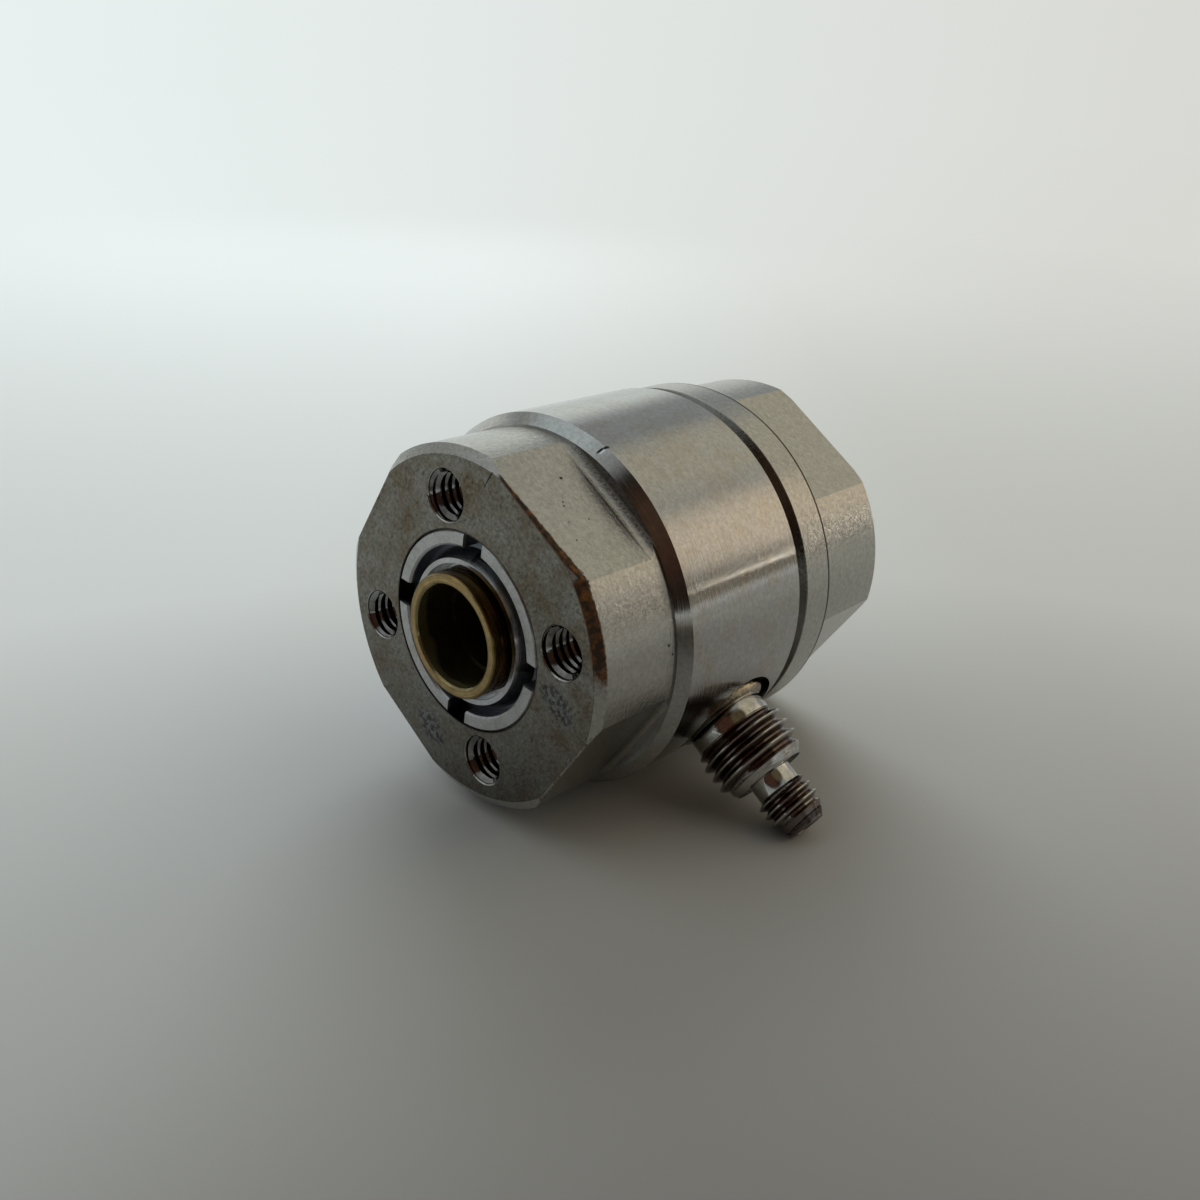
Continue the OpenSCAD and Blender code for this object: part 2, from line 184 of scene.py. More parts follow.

# Matt paper, rolled smooth: no shine and no grain, so only its painted shade and the
# real shadow show.
paper_material, tree = start_material("matt_paper_with_painted_shade")
place = add(tree, "ShaderNodeTexCoord").outputs["Object"]
# Painted shade: grey in rings round the shade centre, white farther off.
from_shade = add(tree, "ShaderNodeVectorMath", {0: place, 1: SHADE_CENTRE}, operation="DISTANCE")
painted_shade_grade = add(tree, "ShaderNodeMapRange", {
    "Value": from_shade, "From Min": GREY_TO, "From Max": WHITE_FROM})
paper_colour = add(tree, "ShaderNodeMix", {
    0: painted_shade_grade, 6: linear("#959391"), 7: linear("#e8ebea")}, data_type="RGBA")
# Painted shade: warmer and a little darker to the right.
to_right = add(tree, "ShaderNodeVectorMath", {0: place, 1: VIEW_RIGHT}, operation="DOT_PRODUCT")
warm_side = add(tree, "ShaderNodeMapRange", {
    "Value": to_right, "From Min": WARM_FROM, "From Max": WARM_TO})
paper_colour = add(tree, "ShaderNodeMix", {0: warm_side, 6: paper_colour, 7: linear("#ebe6e1")},
                   data_type="RGBA", blend_type="MULTIPLY")
# Painted shade where the camera stands over the paper.
camera_foot = add(tree, "ShaderNodeVectorMath", {0: place, 1: CAMERA_SHADE_CENTRE},
                  operation="DISTANCE")
shaded = add(tree, "ShaderNodeMapRange", {
    "Value": camera_foot, "From Min": CAMERA_SHADE_FROM, "From Max": CAMERA_SHADE_TO},
             interpolation_type="SMOOTHSTEP")
paper_colour = add(tree, "ShaderNodeMix", {
    0: shaded, 6: linear("#625d57"), 7: paper_colour}, data_type="RGBA")
sheet = add(tree, "ShaderNodeBsdfDiffuse", {"Color": paper_colour})

# %% [markdown]
# Far off, the paper runs into the plain backdrop, which glows. The glow is shown only
# to the camera and in mirrors and glass, so it adds no light to the sensor.

# %% Far end of the paper
GLOW_FROM, GLOW_TO = 0.12, 0.6

outward = add(tree, "ShaderNodeVectorMath", {0: place}, operation="NORMALIZE")
far_glow = add(tree, "ShaderNodeEmission", {"Color": backdrop_colour(tree, outward)})
far = add(tree, "ShaderNodeMapRange", {
    "Value": from_shade, "From Min": GLOW_FROM, "From Max": GLOW_TO},
          interpolation_type="SMOOTHSTEP")
paths = add(tree, "ShaderNodeLightPath")
looked_at = add(tree, "ShaderNodeMath", {
    0: paths.outputs["Is Camera Ray"], 1: paths.outputs["Is Glossy Ray"]}, operation="MAXIMUM")
looked_at = add(tree, "ShaderNodeMath", {
    0: looked_at, 1: paths.outputs["Is Transmission Ray"]}, operation="MAXIMUM")
far_seen = add(tree, "ShaderNodeMath", {0: far, 1: looked_at}, operation="MULTIPLY")
paper_mix = add(tree, "ShaderNodeMixShader", {0: far_seen, 1: sheet, 2: far_glow})
add(tree, "ShaderNodeOutputMaterial", {"Surface": paper_mix})
paper_mesh.materials.append(paper_material)
print(paper_material.name, len(tree.nodes), "nodes")

# %% [markdown]
# ## The room
# Steel shows little but its surroundings. A bright wall stands behind the sensor to the
# left, the ceiling is duller, and the room behind the camera is dark, which gives
# turned steel its black reflections. A picture of a room could wrap round the scene,
# but soft patches on a plain colour are easier to move. Each has a direction, a width
# and the colour that the room takes there.

# %% Patches of a room
def direction_of(azimuth_deg, elevation_deg):
    """Unit vector from the sensor towards an azimuth (0 is +X, 90 is +Y) and elevation."""
    azimuth, elevation = math.radians(azimuth_deg), math.radians(elevation_deg)
    return Vector((math.cos(elevation) * math.cos(azimuth),
                   math.cos(elevation) * math.sin(azimuth), math.sin(elevation)))


def patch_shape(tree, direction, azimuth_deg, elevation_deg, reach_deg, core_deg=0):
    """1 towards a direction and over its core, falling softly to 0 at its reach."""
    toward = add(tree, "ShaderNodeVectorMath", {
        0: direction, 1: direction_of(azimuth_deg, elevation_deg)}, operation="DOT_PRODUCT")
    return add(tree, "ShaderNodeMapRange", {"Value": toward,
                                            "From Min": math.cos(math.radians(reach_deg)),
                                            "From Max": math.cos(math.radians(core_deg))},
               interpolation_type="SMOOTHSTEP")


def painted_patch(tree, direction, below, shape, colour, strength=1.0):
    """The room's colour with one patch painted over it, as bright as strength says."""
    bright = add(tree, "ShaderNodeMix", {
        0: 1.0, 6: linear(colour), 7: [strength] * 3 + [1]}, data_type="RGBA",
                 blend_type="MULTIPLY")
    return add(tree, "ShaderNodeMix", {0: shape, 6: below, 7: bright}, data_type="RGBA")


# %% Walls and shelves
world = bpy.data.worlds.new("studio")
bpy.context.scene.world = world
world.use_nodes = True
tree = world.node_tree
tree.nodes.clear()
sky = add(tree, "ShaderNodeTexCoord").outputs["Generated"]
room = add(tree, "ShaderNodeRGB")
room.outputs[0].default_value = linear("#a9adae")
seen = room
bright_wall = patch_shape(tree, sky, 155, 6, 35, 22)
seen = painted_patch(tree, sky, seen, bright_wall, "#f5fcf8", 0.98)
cool_ceiling = patch_shape(tree, sky, -146, 50, 30)
seen = painted_patch(tree, sky, seen, cool_ceiling, "#dce8ec")
high_wall = patch_shape(tree, sky, 34, 50, 30, 18)
seen = painted_patch(tree, sky, seen, high_wall, "#ddd6c0")
pale_wall = patch_shape(tree, sky, 90, 35, 21, 8)
seen = painted_patch(tree, sky, seen, pale_wall, "#d8d3c0")
warm_wall = patch_shape(tree, sky, 61, 19, 19, 3)
seen = painted_patch(tree, sky, seen, warm_wall, "#fbead0", 1.2)
dusk = patch_shape(tree, sky, 44, -4, 20, 8)
seen = painted_patch(tree, sky, seen, dusk, "#938a78")
dark_room = patch_shape(tree, sky, -48, 24, 50, 38)
seen = painted_patch(tree, sky, seen, dark_room, "#2a221b")
brown_shelf = patch_shape(tree, sky, -66, 26, 30, 16)
seen = painted_patch(tree, sky, seen, brown_shelf, "#50382d")
gold_shelf = patch_shape(tree, sky, -22, 50, 26, 16)
seen = painted_patch(tree, sky, seen, gold_shelf, "#665a45")

# %% [markdown]
# A fluorescent tube low in the room draws the one thin bright line along the case. It
# could be a long lamp, but a stripe among the room's colours makes it without noise.

# %% Lamp tube
TUBE_HEIGHT_DEG = 4.5
TUBE_HALF_THICK = 0.0035

sky_z = add(tree, "ShaderNodeSeparateXYZ", {0: sky}).outputs["Z"]
tube_height = add(tree, "ShaderNodeMath", {
    0: sky_z, 1: math.sin(math.radians(TUBE_HEIGHT_DEG)), 2: TUBE_HALF_THICK},
                  operation="COMPARE")
tube = add(tree, "ShaderNodeMath", {
    0: tube_height, 1: patch_shape(tree, sky, 61, 5, 14, 8)}, operation="MULTIPLY")
seen = painted_patch(tree, sky, seen, tube, "#fff6e6", 11.0)

# %% [markdown]
# The backdrop goes on above the far end of the paper. The camera sees it all round, so
# that every view has a clean background. Steel and glass mirror it only where it
# stands, behind the sensor, because the rest of the room is darker.

# %% Backdrop above the paper
BACKDROP_TOP_DEG, BACKDROP_FADE_DEG = 5, 12

paths = add(tree, "ShaderNodeLightPath")
mirrored = add(tree, "ShaderNodeMath", {
    0: paths.outputs["Is Glossy Ray"], 1: paths.outputs["Is Transmission Ray"]},
               operation="MAXIMUM")
low_down = add(tree, "ShaderNodeMapRange", {
    "Value": sky_z, "From Min": math.sin(math.radians(BACKDROP_FADE_DEG)),
    "From Max": math.sin(math.radians(BACKDROP_TOP_DEG))})
behind_sensor = add(tree, "ShaderNodeMath", {
    0: low_down, 1: patch_shape(tree, sky, 132, 2, 38, 31)}, operation="MULTIPLY")
mirrored = add(tree, "ShaderNodeMath", {0: mirrored, 1: behind_sensor}, operation="MULTIPLY")
looked_at = add(tree, "ShaderNodeMath", {
    0: paths.outputs["Is Camera Ray"], 1: mirrored}, operation="MAXIMUM")
background_colour = add(tree, "ShaderNodeMix", {
    0: looked_at, 6: seen, 7: backdrop_colour(tree, sky)}, data_type="RGBA")
background = add(tree, "ShaderNodeBackground", {"Color": background_colour, "Strength": 1.0})
add(tree, "ShaderNodeOutputWorld", {"Surface": background})
print("room", len(tree.nodes), "nodes")

# %% [markdown]
# One wide soft light stands for the window over the bright wall. It lifts the paper and
# gives the sensor its shadow. The steel already mirrors the wall, so it skips the lamp.

# %% Window light
WINDOW_AWAY, WINDOW_SIZE, WINDOW_WATTS = 0.5, 0.34, 1.3

towards_window = direction_of(140, 34)
window_data = bpy.data.lights.new("window_light", "AREA")
window_data.size = WINDOW_SIZE
window_data.energy = WINDOW_WATTS
window_data.color = linear("#f2faff")[:3]
window = bpy.data.objects.new("window_light", window_data)
window.location = towards_window * WINDOW_AWAY
window.rotation_euler = (-towards_window).to_track_quat("-Z", "Y").to_euler()
window.visible_glossy = False
bpy.context.scene.collection.objects.link(window)
bpy.context.scene.view_settings.view_transform = "Standard"
print("window light", WINDOW_SIZE, "m wide,", WINDOW_WATTS, "W")

# %% [markdown]
# ## Patterns in the sensor's own frame
# Almost every piece is the same stainless steel, and what tells them apart is the
# tool. Photographs of steel could be wrapped round the pieces, but their lines would
# not follow each piece's axis. So every pattern is computed from a point's place in
# the sensor's own frame, in millimetres, and has one size on all pieces.

# %% Place, radius and depth
AXIS = Vector((0, 1, 0))
ACROSS_AXIS = (1, 0, 1)


def sensor_place(tree):
    """A point in millimetres: X towards the connector's side, Y along the axis, Z across."""
    place = add(tree, "ShaderNodeTexCoord")
    return add(tree, "ShaderNodeMapping", {
        "Vector": place.outputs["Object"], "Rotation": (0, -LIE_ROLL, 0), "Scale": [1 / MM] * 3})


def radius_and_depth(tree, place):
    """Distance from the axis and distance from the nearer end face, in millimetres."""
    flat_place = add(tree, "ShaderNodeVectorMath", {0: place, 1: ACROSS_AXIS},
                     operation="MULTIPLY")
    radius = add(tree, "ShaderNodeVectorMath", {0: flat_place}, operation="LENGTH")
    y = add(tree, "ShaderNodeSeparateXYZ", {0: place}).outputs["Y"]
    from_rear = add(tree, "ShaderNodeMath", {0: LENGTH / MM, 1: y}, operation="SUBTRACT")
    depth = add(tree, "ShaderNodeMath", {0: y, 1: from_rear}, operation="MINIMUM")
    return radius, depth


# %% [markdown]
# Turning leaves fine lines round the axis. They stretch every reflection along the
# axis and keep it sharp across. Bumps alone would have to be finer than a pixel, so
# the shader is anisotropic as well, with its tangent along the cut.

# %% Lines of the lathe
FACE_LAY = (0.03, 0.0, 0.04)
QUARTER_TURN = 0.25


def lay_of_cut(tree, axis):
    """Tangent along the lines that a lathe leaves. On end faces it turns to one fixed lay."""
    place = add(tree, "ShaderNodeTexCoord")
    around = add(tree, "ShaderNodeVectorMath", {0: axis, 1: place.outputs["Normal"]},
                 operation="CROSS_PRODUCT")
    return add(tree, "ShaderNodeVectorMath", {0: around, 1: FACE_LAY}, operation="ADD")


def turned_place(tree, place, centre, across):
    """Distance along a turned piece plus distance from its axis, in millimetres.

    Lathe lines run where this stays the same: round a cylinder and as rings on a face.
    """
    off = add(tree, "ShaderNodeVectorMath", {0: place, 1: centre}, operation="SUBTRACT")
    sideways = add(tree, "ShaderNodeVectorMath", {0: off, 1: across}, operation="MULTIPLY")
    own_r = add(tree, "ShaderNodeVectorMath", {0: sideways}, operation="LENGTH")
    along = add(tree, "ShaderNodeVectorMath", {
        0: off, 1: Vector((1, 1, 1)) - Vector(across)}, operation="DOT_PRODUCT")
    return add(tree, "ShaderNodeMath", {0: own_r, 1: along}, operation="ADD")


def tool_marks(tree, place, lines_at, line_mm, line_share, grain_mm):
    """Height of fine lines, spaced about line_mm along lines_at, mixed with fine grain."""
    # A finishing cut typically leaves lines 0.05 mm apart, which was not measured here.
    # Drawn so fine they would fall between pixels, so they are made much coarser.
    lines = add(tree, "ShaderNodeTexNoise", {
        "W": lines_at, "Scale": 1 / line_mm, "Detail": 2.0}, noise_dimensions="1D")
    grain = add(tree, "ShaderNodeTexNoise", {
        "Vector": place, "Scale": 1 / grain_mm, "Detail": 3.0})
    return add(tree, "ShaderNodeMix", {0: line_share, 2: grain, 3: lines})


# %% [markdown]
# Three more patterns serve several finishes: the uneven grain that old steel takes
# on, marks at chosen places, and pits strewn by chance. They could be painted by hand,
# but computed they stay sharp close up and can be moved by changing one number.

# %% Grain, spots and pits
SPOT_ENDS, SPOT_FULL = 1.15, 0.75


def leather_grain(tree, place):
    """The fine uneven skin that old steel takes on, about a third of a millimetre across."""
    return add(tree, "ShaderNodeTexNoise", {
        "Vector": place, "Scale": 2.8, "Detail": 4.0, "Roughness": 0.7, "Distortion": 0.6})


def spot(tree, place, centre, half_sizes):
    """1 inside a soft-edged ellipsoid round a point, both in millimetres."""
    away = add(tree, "ShaderNodeVectorMath", {0: place, 1: centre}, operation="SUBTRACT")
    shares = add(tree, "ShaderNodeVectorMath", {
        0: away, 1: [1 / half for half in half_sizes]}, operation="MULTIPLY")
    length = add(tree, "ShaderNodeVectorMath", {0: shares}, operation="LENGTH")
    return add(tree, "ShaderNodeMapRange", {
        "Value": length, "From Min": SPOT_ENDS, "From Max": SPOT_FULL})


def all_spots(tree, place, spots):
    """Several spots as one pattern. Each is a centre and its half sizes."""
    pattern = 0.0
    for centre, half_sizes in spots:
        pattern = add(tree, "ShaderNodeMath", {
            0: pattern, 1: spot(tree, place, centre, half_sizes)}, operation="MAXIMUM")
    return pattern


def pit_pattern(tree, place, spacing_mm, share, pit_mm):
    """Small round pits about spacing_mm apart, of which only a share is there."""
    cells = add(tree, "ShaderNodeTexVoronoi", {"Vector": place, "Scale": 1 / spacing_mm})
    cell = add(tree, "ShaderNodeSeparateColor", {0: cells.outputs["Color"]})
    kept = add(tree, "ShaderNodeMath", {0: cell.outputs[0], 1: share}, operation="LESS_THAN")
    size = add(tree, "ShaderNodeMath", {
        0: cell.outputs[1], 1: pit_mm / spacing_mm}, operation="MULTIPLY")
    inside = add(tree, "ShaderNodeMath", {0: cells.outputs["Distance"], 1: size},
                 operation="LESS_THAN")
    return add(tree, "ShaderNodeMath", {0: kept, 1: inside}, operation="MULTIPLY")


# %% [markdown]
# ## Flange steel
# One material dresses both flanges, with their ground end faces, milled flats, turned
# rims, and walls painted dark as painted shade. Separate materials would need each
# face picked by hand, so this one picks its zones by where a point lies.

# %% Zones of the flanges
FACE_DEPTH = 0.02

flange_finish, tree = start_material("ground_and_turned_stainless_steel")
place = sensor_place(tree)
radius, depth = radius_and_depth(tree, place)
x, y, z = add(tree, "ShaderNodeSeparateXYZ", {0: place}).outputs
on_face = add(tree, "ShaderNodeMath", {0: depth, 1: FACE_DEPTH}, operation="LESS_THAN")
grain = leather_grain(tree, place)
print("flanges span", round(LENGTH / MM, 1), "mm, faces within", FACE_DEPTH, "mm of both ends")

# %% [markdown]
# The end faces were ground flat. Age has turned them olive and patchy, browner in two
# places, and towards the floor they are painted darker as painted shade. Broad noise
# mixes the tones, because such a skin has no sharp borders, and the two brown places
# are set where they are.

# %% Stains and painted shade of the end faces
BROWN_PLACES = [((-5.4, 0, 9.8), (1.5, 3, 1.9)), ((-11.6, 0, 4.8), (1.2, 3, 1.8))]
UPWARD = (-math.sin(LIE_ROLL), 0, math.cos(LIE_ROLL))
LOWEST, LOW_SHARE = -15.0, 0.5

patches = add(tree, "ShaderNodeTexNoise", {
    "Vector": place, "Scale": 0.28, "Detail": 8.0, "Roughness": 0.7})
patch = add(tree, "ShaderNodeMapRange", {"Value": patches, "From Min": 0.44, "From Max": 0.66})
browner = add(tree, "ShaderNodeMath", {0: all_spots(tree, place, BROWN_PLACES), 1: grain},
              operation="MULTIPLY")
patch = add(tree, "ShaderNodeMath", {0: patch, 1: browner}, operation="ADD", use_clamp=True)
skin = add(tree, "ShaderNodeMix", {
    0: patch, 6: linear("#7f7d75"), 7: linear("#695d4b")}, data_type="RGBA")
# Painted shade: the end faces darken towards the floor.
up = add(tree, "ShaderNodeVectorMath", {0: place, 1: UPWARD}, operation="DOT_PRODUCT")
low_down = add(tree, "ShaderNodeMapRange", {
    "Value": up, "From Min": 0.0, "From Max": LOWEST, "To Max": LOW_SHARE})
skin = add(tree, "ShaderNodeMix", {0: low_down, 6: skin, 7: linear("#4c4943")}, data_type="RGBA")
print(len(BROWN_PLACES), "brown places")

# %% [markdown]
# Two drops dried on the face and left oval ghosts, speckled black and pale. Noise with
# a steep ramp makes the specks, and soft ovals keep them in their places.

# %% Dried drops
DROPS = [((9.7, 0, 4.0), (1.9, 3, 1.1)), ((2.2, 0, -10.7), (1.9, 3, 1.2))]
DROP_SHARE = 0.75

specks = add(tree, "ShaderNodeTexNoise", {"Vector": place, "Scale": 2.4, "Detail": 2.0})
speck = add(tree, "ShaderNodeMapRange", {"Value": specks, "From Min": 0.44, "From Max": 0.56})
drop_skin = add(tree, "ShaderNodeMix", {
    0: speck, 6: linear("#2f2c2b"), 7: linear("#747677")}, data_type="RGBA")
drop_share = add(tree, "ShaderNodeMath", {
    0: all_spots(tree, place, DROPS), 1: DROP_SHARE}, operation="MULTIPLY")
skin = add(tree, "ShaderNodeMix", {0: drop_share, 6: skin, 7: drop_skin}, data_type="RGBA")
print(len(DROPS), "dried drops")

# %% [markdown]
# Close up the skin is grained like leather, and fine dark pores follow the grinding.
# The finest pores would vanish at this distance, so they are drawn coarse, near
# 0.3 mm, and stretched along the lay. Their size was set.

# %% Grain and pores of the end faces
LAY_ROUND_AXIS = (0, math.radians(35), 0)
LAY_STRETCH = (1, 1, 0.45)

light = add(tree, "ShaderNodeMapRange", {
    "Value": grain, "From Min": 0.3, "From Max": 0.7, "To Min": 1.4, "To Max": 0.6})
skin = add(tree, "ShaderNodeMix", {0: 1.0, 6: skin, 7: light},
           data_type="RGBA", blend_type="MULTIPLY")
along_lay = add(tree, "ShaderNodeMapping", {
    "Vector": place, "Rotation": LAY_ROUND_AXIS, "Scale": LAY_STRETCH})
pores = add(tree, "ShaderNodeTexNoise", {
    "Vector": along_lay, "Scale": 3.6, "Detail": 4.0, "Roughness": 0.65})
pore = add(tree, "ShaderNodeMapRange", {
    "Value": pores, "From Min": 0.54, "From Max": 0.70, "To Max": 0.7})
skin = add(tree, "ShaderNodeMix", {0: pore, 6: skin, 7: linear("#2a2621")}, data_type="RGBA")
print("end-face skin", len(tree.nodes), "nodes")

# %% [markdown]
# The sides are cleaner steel with the same grain. On the flats lie a few black pits,
# and a short scratch marks the front face. Each is set at its own place, because the
# eye remembers them, and finer ones are strewn between them.

# %% Sides, pits and the scratch
FLAT_AT = 13.4
PITS = [((-2.75, 4.87, FLAT_AT), (0.11, 0.14, 0.3)), ((-0.77, 3.49, FLAT_AT), (0.07, 0.08, 0.3)),
        ((-0.43, 3.32, FLAT_AT), (0.08, 0.07, 0.3)), ((1.17, 4.54, FLAT_AT), (0.07, 0.06, 0.3)),
        ((0.92, 2.73, FLAT_AT), (0.06, 0.06, 0.3)), ((2.47, 2.26, FLAT_AT), (0.07, 0.06, 0.3)),
        ((FLAT_AT, 6.99, -1.06), (0.3, 0.1, 0.12)), ((FLAT_AT, 2.06, 0.74), (0.3, 0.08, 0.08)),
        ((11.0, 7.1, 9.6), (0.12, 0.1, 0.12)), ((11.5, 7.5, 9.0), (0.1, 0.08, 0.1))]
SCRATCH = [((-4.88, 0, 12.4), (0.05, 0.1, 0.9))]
SIDES_FROM_R = 13.2

side_colour = add(tree, "ShaderNodeMix", {
    0: grain, 6: linear("#cccac4"), 7: linear("#7d7a70")}, data_type="RGBA")
colour = add(tree, "ShaderNodeMix", {0: on_face, 6: side_colour, 7: skin}, data_type="RGBA")
on_side = add(tree, "ShaderNodeMath", {0: radius, 1: SIDES_FROM_R}, operation="GREATER_THAN")
stray_pits = add(tree, "ShaderNodeMath", {
    0: pit_pattern(tree, place, spacing_mm=1.5, share=0.14, pit_mm=0.12),
    1: on_side}, operation="MULTIPLY")
marks = add(tree, "ShaderNodeMath", {0: all_spots(tree, place, PITS + SCRATCH), 1: stray_pits},
            operation="MAXIMUM")
colour = add(tree, "ShaderNodeMix", {0: marks, 6: colour, 7: linear("#191715")}, data_type="RGBA")
print(len(PITS), "pits and", len(SCRATCH), "scratch set by hand")

# %% [markdown]
# The tapped holes, the nut's pocket, the groove before the rear flange and the step
# behind it are painted dark brown as painted shade. Each wall is found by one measure:
# its distance from a hole's centre or from the axis, or along it.

# %% Painted shade in the hollows
HOLE_CIRCLE_R = 10.7 * MM
HOLE_AT = HOLE_CIRCLE_R / MM * math.sqrt(0.5)
HOLE_WALL_R, POCKET_WALL_R = 2.05, 8.2
GROOVE_FROM, GROOVE_TO, GROOVE_SHARE = 20.0, (23.6, 23.72), 0.65
STEP_AT, STEP_HALF = 27.2, 0.5

folded = add(tree, "ShaderNodeVectorMath", {0: place}, operation="ABSOLUTE")
to_hole = add(tree, "ShaderNodeVectorMath", {
    0: folded, 1: (HOLE_AT, 0, HOLE_AT)}, operation="SUBTRACT")
to_hole = add(tree, "ShaderNodeVectorMath", {0: to_hole, 1: ACROSS_AXIS}, operation="MULTIPLY")
hole_r = add(tree, "ShaderNodeVectorMath", {0: to_hole}, operation="LENGTH")
in_hole = add(tree, "ShaderNodeMath", {0: hole_r, 1: HOLE_WALL_R}, operation="LESS_THAN")
in_pocket = add(tree, "ShaderNodeMath", {0: radius, 1: POCKET_WALL_R}, operation="LESS_THAN")
by_groove = add(tree, "ShaderNodeMapRange", {
    "Value": y, "From Min": GROOVE_TO[1], "From Max": GROOVE_TO[0], "To Max": GROOVE_SHARE})
at_rear = add(tree, "ShaderNodeMath", {0: y, 1: GROOVE_FROM}, operation="GREATER_THAN")
in_groove = add(tree, "ShaderNodeMath", {0: by_groove, 1: at_rear}, operation="MULTIPLY")
by_step = add(tree, "ShaderNodeMath", {0: y, 1: STEP_AT, 2: STEP_HALF}, operation="COMPARE")
hollow_shade = 0.0
for wall in (in_hole, in_pocket, in_groove, by_step):
    hollow_shade = add(tree, "ShaderNodeMath", {0: hollow_shade, 1: wall}, operation="MAXIMUM")
# Painted shade in the holes, the pocket, the groove and behind the step.
colour = add(tree, "ShaderNodeMix", {0: hollow_shade, 6: colour, 7: linear("#39332c")}, data_type="RGBA")
print("hole centres", round(HOLE_AT, 2), "mm from both middle planes")

# %% [markdown]
# Brown rust has crept along one flat's front edge, wider towards its corner. It could
# be one blotch of noise, but rust keeps to the edge that it started from. So its width
# is measured from that edge, and noise only frays it.

# %% Rust along the flat
RUST_BEGINS_X, RUST_WIDENS_X = (-5.2, -4.0), (-4.8, 5.0)
RUST_WIDTH = (0.12, 0.8)

ragged = add(tree, "ShaderNodeTexNoise", {
    "Vector": place, "Scale": 2.2, "Detail": 6.0, "Roughness": 0.7})
width = add(tree, "ShaderNodeMapRange", {
    "Value": x, "From Min": RUST_WIDENS_X[0], "From Max": RUST_WIDENS_X[1],
    "To Min": RUST_WIDTH[0], "To Max": RUST_WIDTH[1]})
unevenly = add(tree, "ShaderNodeMath", {0: ragged, 1: 0.9, 2: 0.45}, operation="MULTIPLY_ADD")
width = add(tree, "ShaderNodeMath", {0: width, 1: unevenly}, operation="MULTIPLY")
within_width = add(tree, "ShaderNodeMath", {0: width, 1: y}, operation="SUBTRACT")
on_edge = add(tree, "ShaderNodeMapRange", {
    "Value": within_width, "From Min": -0.04, "From Max": 0.08})
on_flat = add(tree, "ShaderNodeMapRange", {
    "Value": z, "From Min": FLAT_AT - 0.25, "From Max": FLAT_AT - 0.1})
begun = add(tree, "ShaderNodeMapRange", {
    "Value": x, "From Min": RUST_BEGINS_X[0], "From Max": RUST_BEGINS_X[1]})
flat_rust = 1.0
for share in (on_edge, on_flat, begun):
    flat_rust = add(tree, "ShaderNodeMath", {0: flat_rust, 1: share}, operation="MULTIPLY")
print("rust up to", RUST_WIDTH[1], "mm wide before fraying")

# %% [markdown]
# The rust runs on over the turned chamfer beside the flat and dies out lower down.
# The same noise frays it, so the two parts meet without a seam.

# %% Rust on the chamfer
CHAMFER_FROM_R, FLAT_CORNER_X, RUST_ENDS_Z = (13.55, 13.7), (4.9, 5.3), (6.2, 7.4)

chamfer_width = add(tree, "ShaderNodeMath", {0: ragged, 1: 0.4, 2: 0.4}, operation="MULTIPLY_ADD")
within_width = add(tree, "ShaderNodeMath", {0: chamfer_width, 1: y}, operation="SUBTRACT")
on_chamfer = add(tree, "ShaderNodeMapRange", {
    "Value": within_width, "From Min": -0.05, "From Max": 0.1})
inner_r = add(tree, "ShaderNodeMath", {0: ragged, 1: -0.3, 2: radius}, operation="MULTIPLY_ADD")
past_face = add(tree, "ShaderNodeMapRange", {
    "Value": inner_r, "From Min": CHAMFER_FROM_R[0], "From Max": CHAMFER_FROM_R[1]})
end_z = add(tree, "ShaderNodeMath", {0: ragged, 1: -4.0, 2: z}, operation="MULTIPLY_ADD")
not_ended = add(tree, "ShaderNodeMapRange", {
    "Value": end_z, "From Min": RUST_ENDS_Z[0], "From Max": RUST_ENDS_Z[1]})
past_corner = add(tree, "ShaderNodeMapRange", {
    "Value": x, "From Min": FLAT_CORNER_X[0], "From Max": FLAT_CORNER_X[1]})
chamfer_rust = 1.0
for share in (on_chamfer, past_face, not_ended, past_corner):
    chamfer_rust = add(tree, "ShaderNodeMath", {0: chamfer_rust, 1: share}, operation="MULTIPLY")

# %% [markdown]
# Specks carry on in a thin line along the next flat. All rust shares one colour, which
# blotches from dark brown to orange.

# %% Specks and colour of the rust
SPECKS_TO_Y = (0.1, 0.2)

on_next_flat = add(tree, "ShaderNodeMapRange", {
    "Value": x, "From Min": FLAT_AT - 0.2, "From Max": FLAT_AT - 0.05})
thin_edge = add(tree, "ShaderNodeMapRange", {
    "Value": y, "From Min": SPECKS_TO_Y[1], "From Max": SPECKS_TO_Y[0]})
broken = add(tree, "ShaderNodeMapRange", {
    "Value": ragged, "From Min": 0.5, "From Max": 0.56, "To Max": 0.9})
rust_specks = 1.0
for share in (on_next_flat, thin_edge, broken):
    rust_specks = add(tree, "ShaderNodeMath", {0: rust_specks, 1: share}, operation="MULTIPLY")
rust = flat_rust
for part in (chamfer_rust, rust_specks):
    rust = add(tree, "ShaderNodeMath", {0: rust, 1: part}, operation="MAXIMUM")
blotches = add(tree, "ShaderNodeTexNoise", {
    "Vector": place, "Scale": 1.8, "Detail": 4.0, "Roughness": 0.6})
orange = add(tree, "ShaderNodeMapRange", {"Value": blotches, "From Min": 0.42, "From Max": 0.78})
rust_colour = add(tree, "ShaderNodeMix", {
    0: orange, 6: linear("#33200b"), 7: linear("#8f5a20")}, data_type="RGBA")
colour = add(tree, "ShaderNodeMix", {0: rust, 6: colour, 7: rust_colour}, data_type="RGBA")
print("with rust", len(tree.nodes), "nodes")

# %% [markdown]
# Zones also differ in polish and depth. Ground faces are duller than turned sides, oil
# makes the holes glossy, and rust is dull and no metal. Grain rises, pits and pores sink.

# %% Polish and relief of the flanges
RELIEF = 0.012 * MM

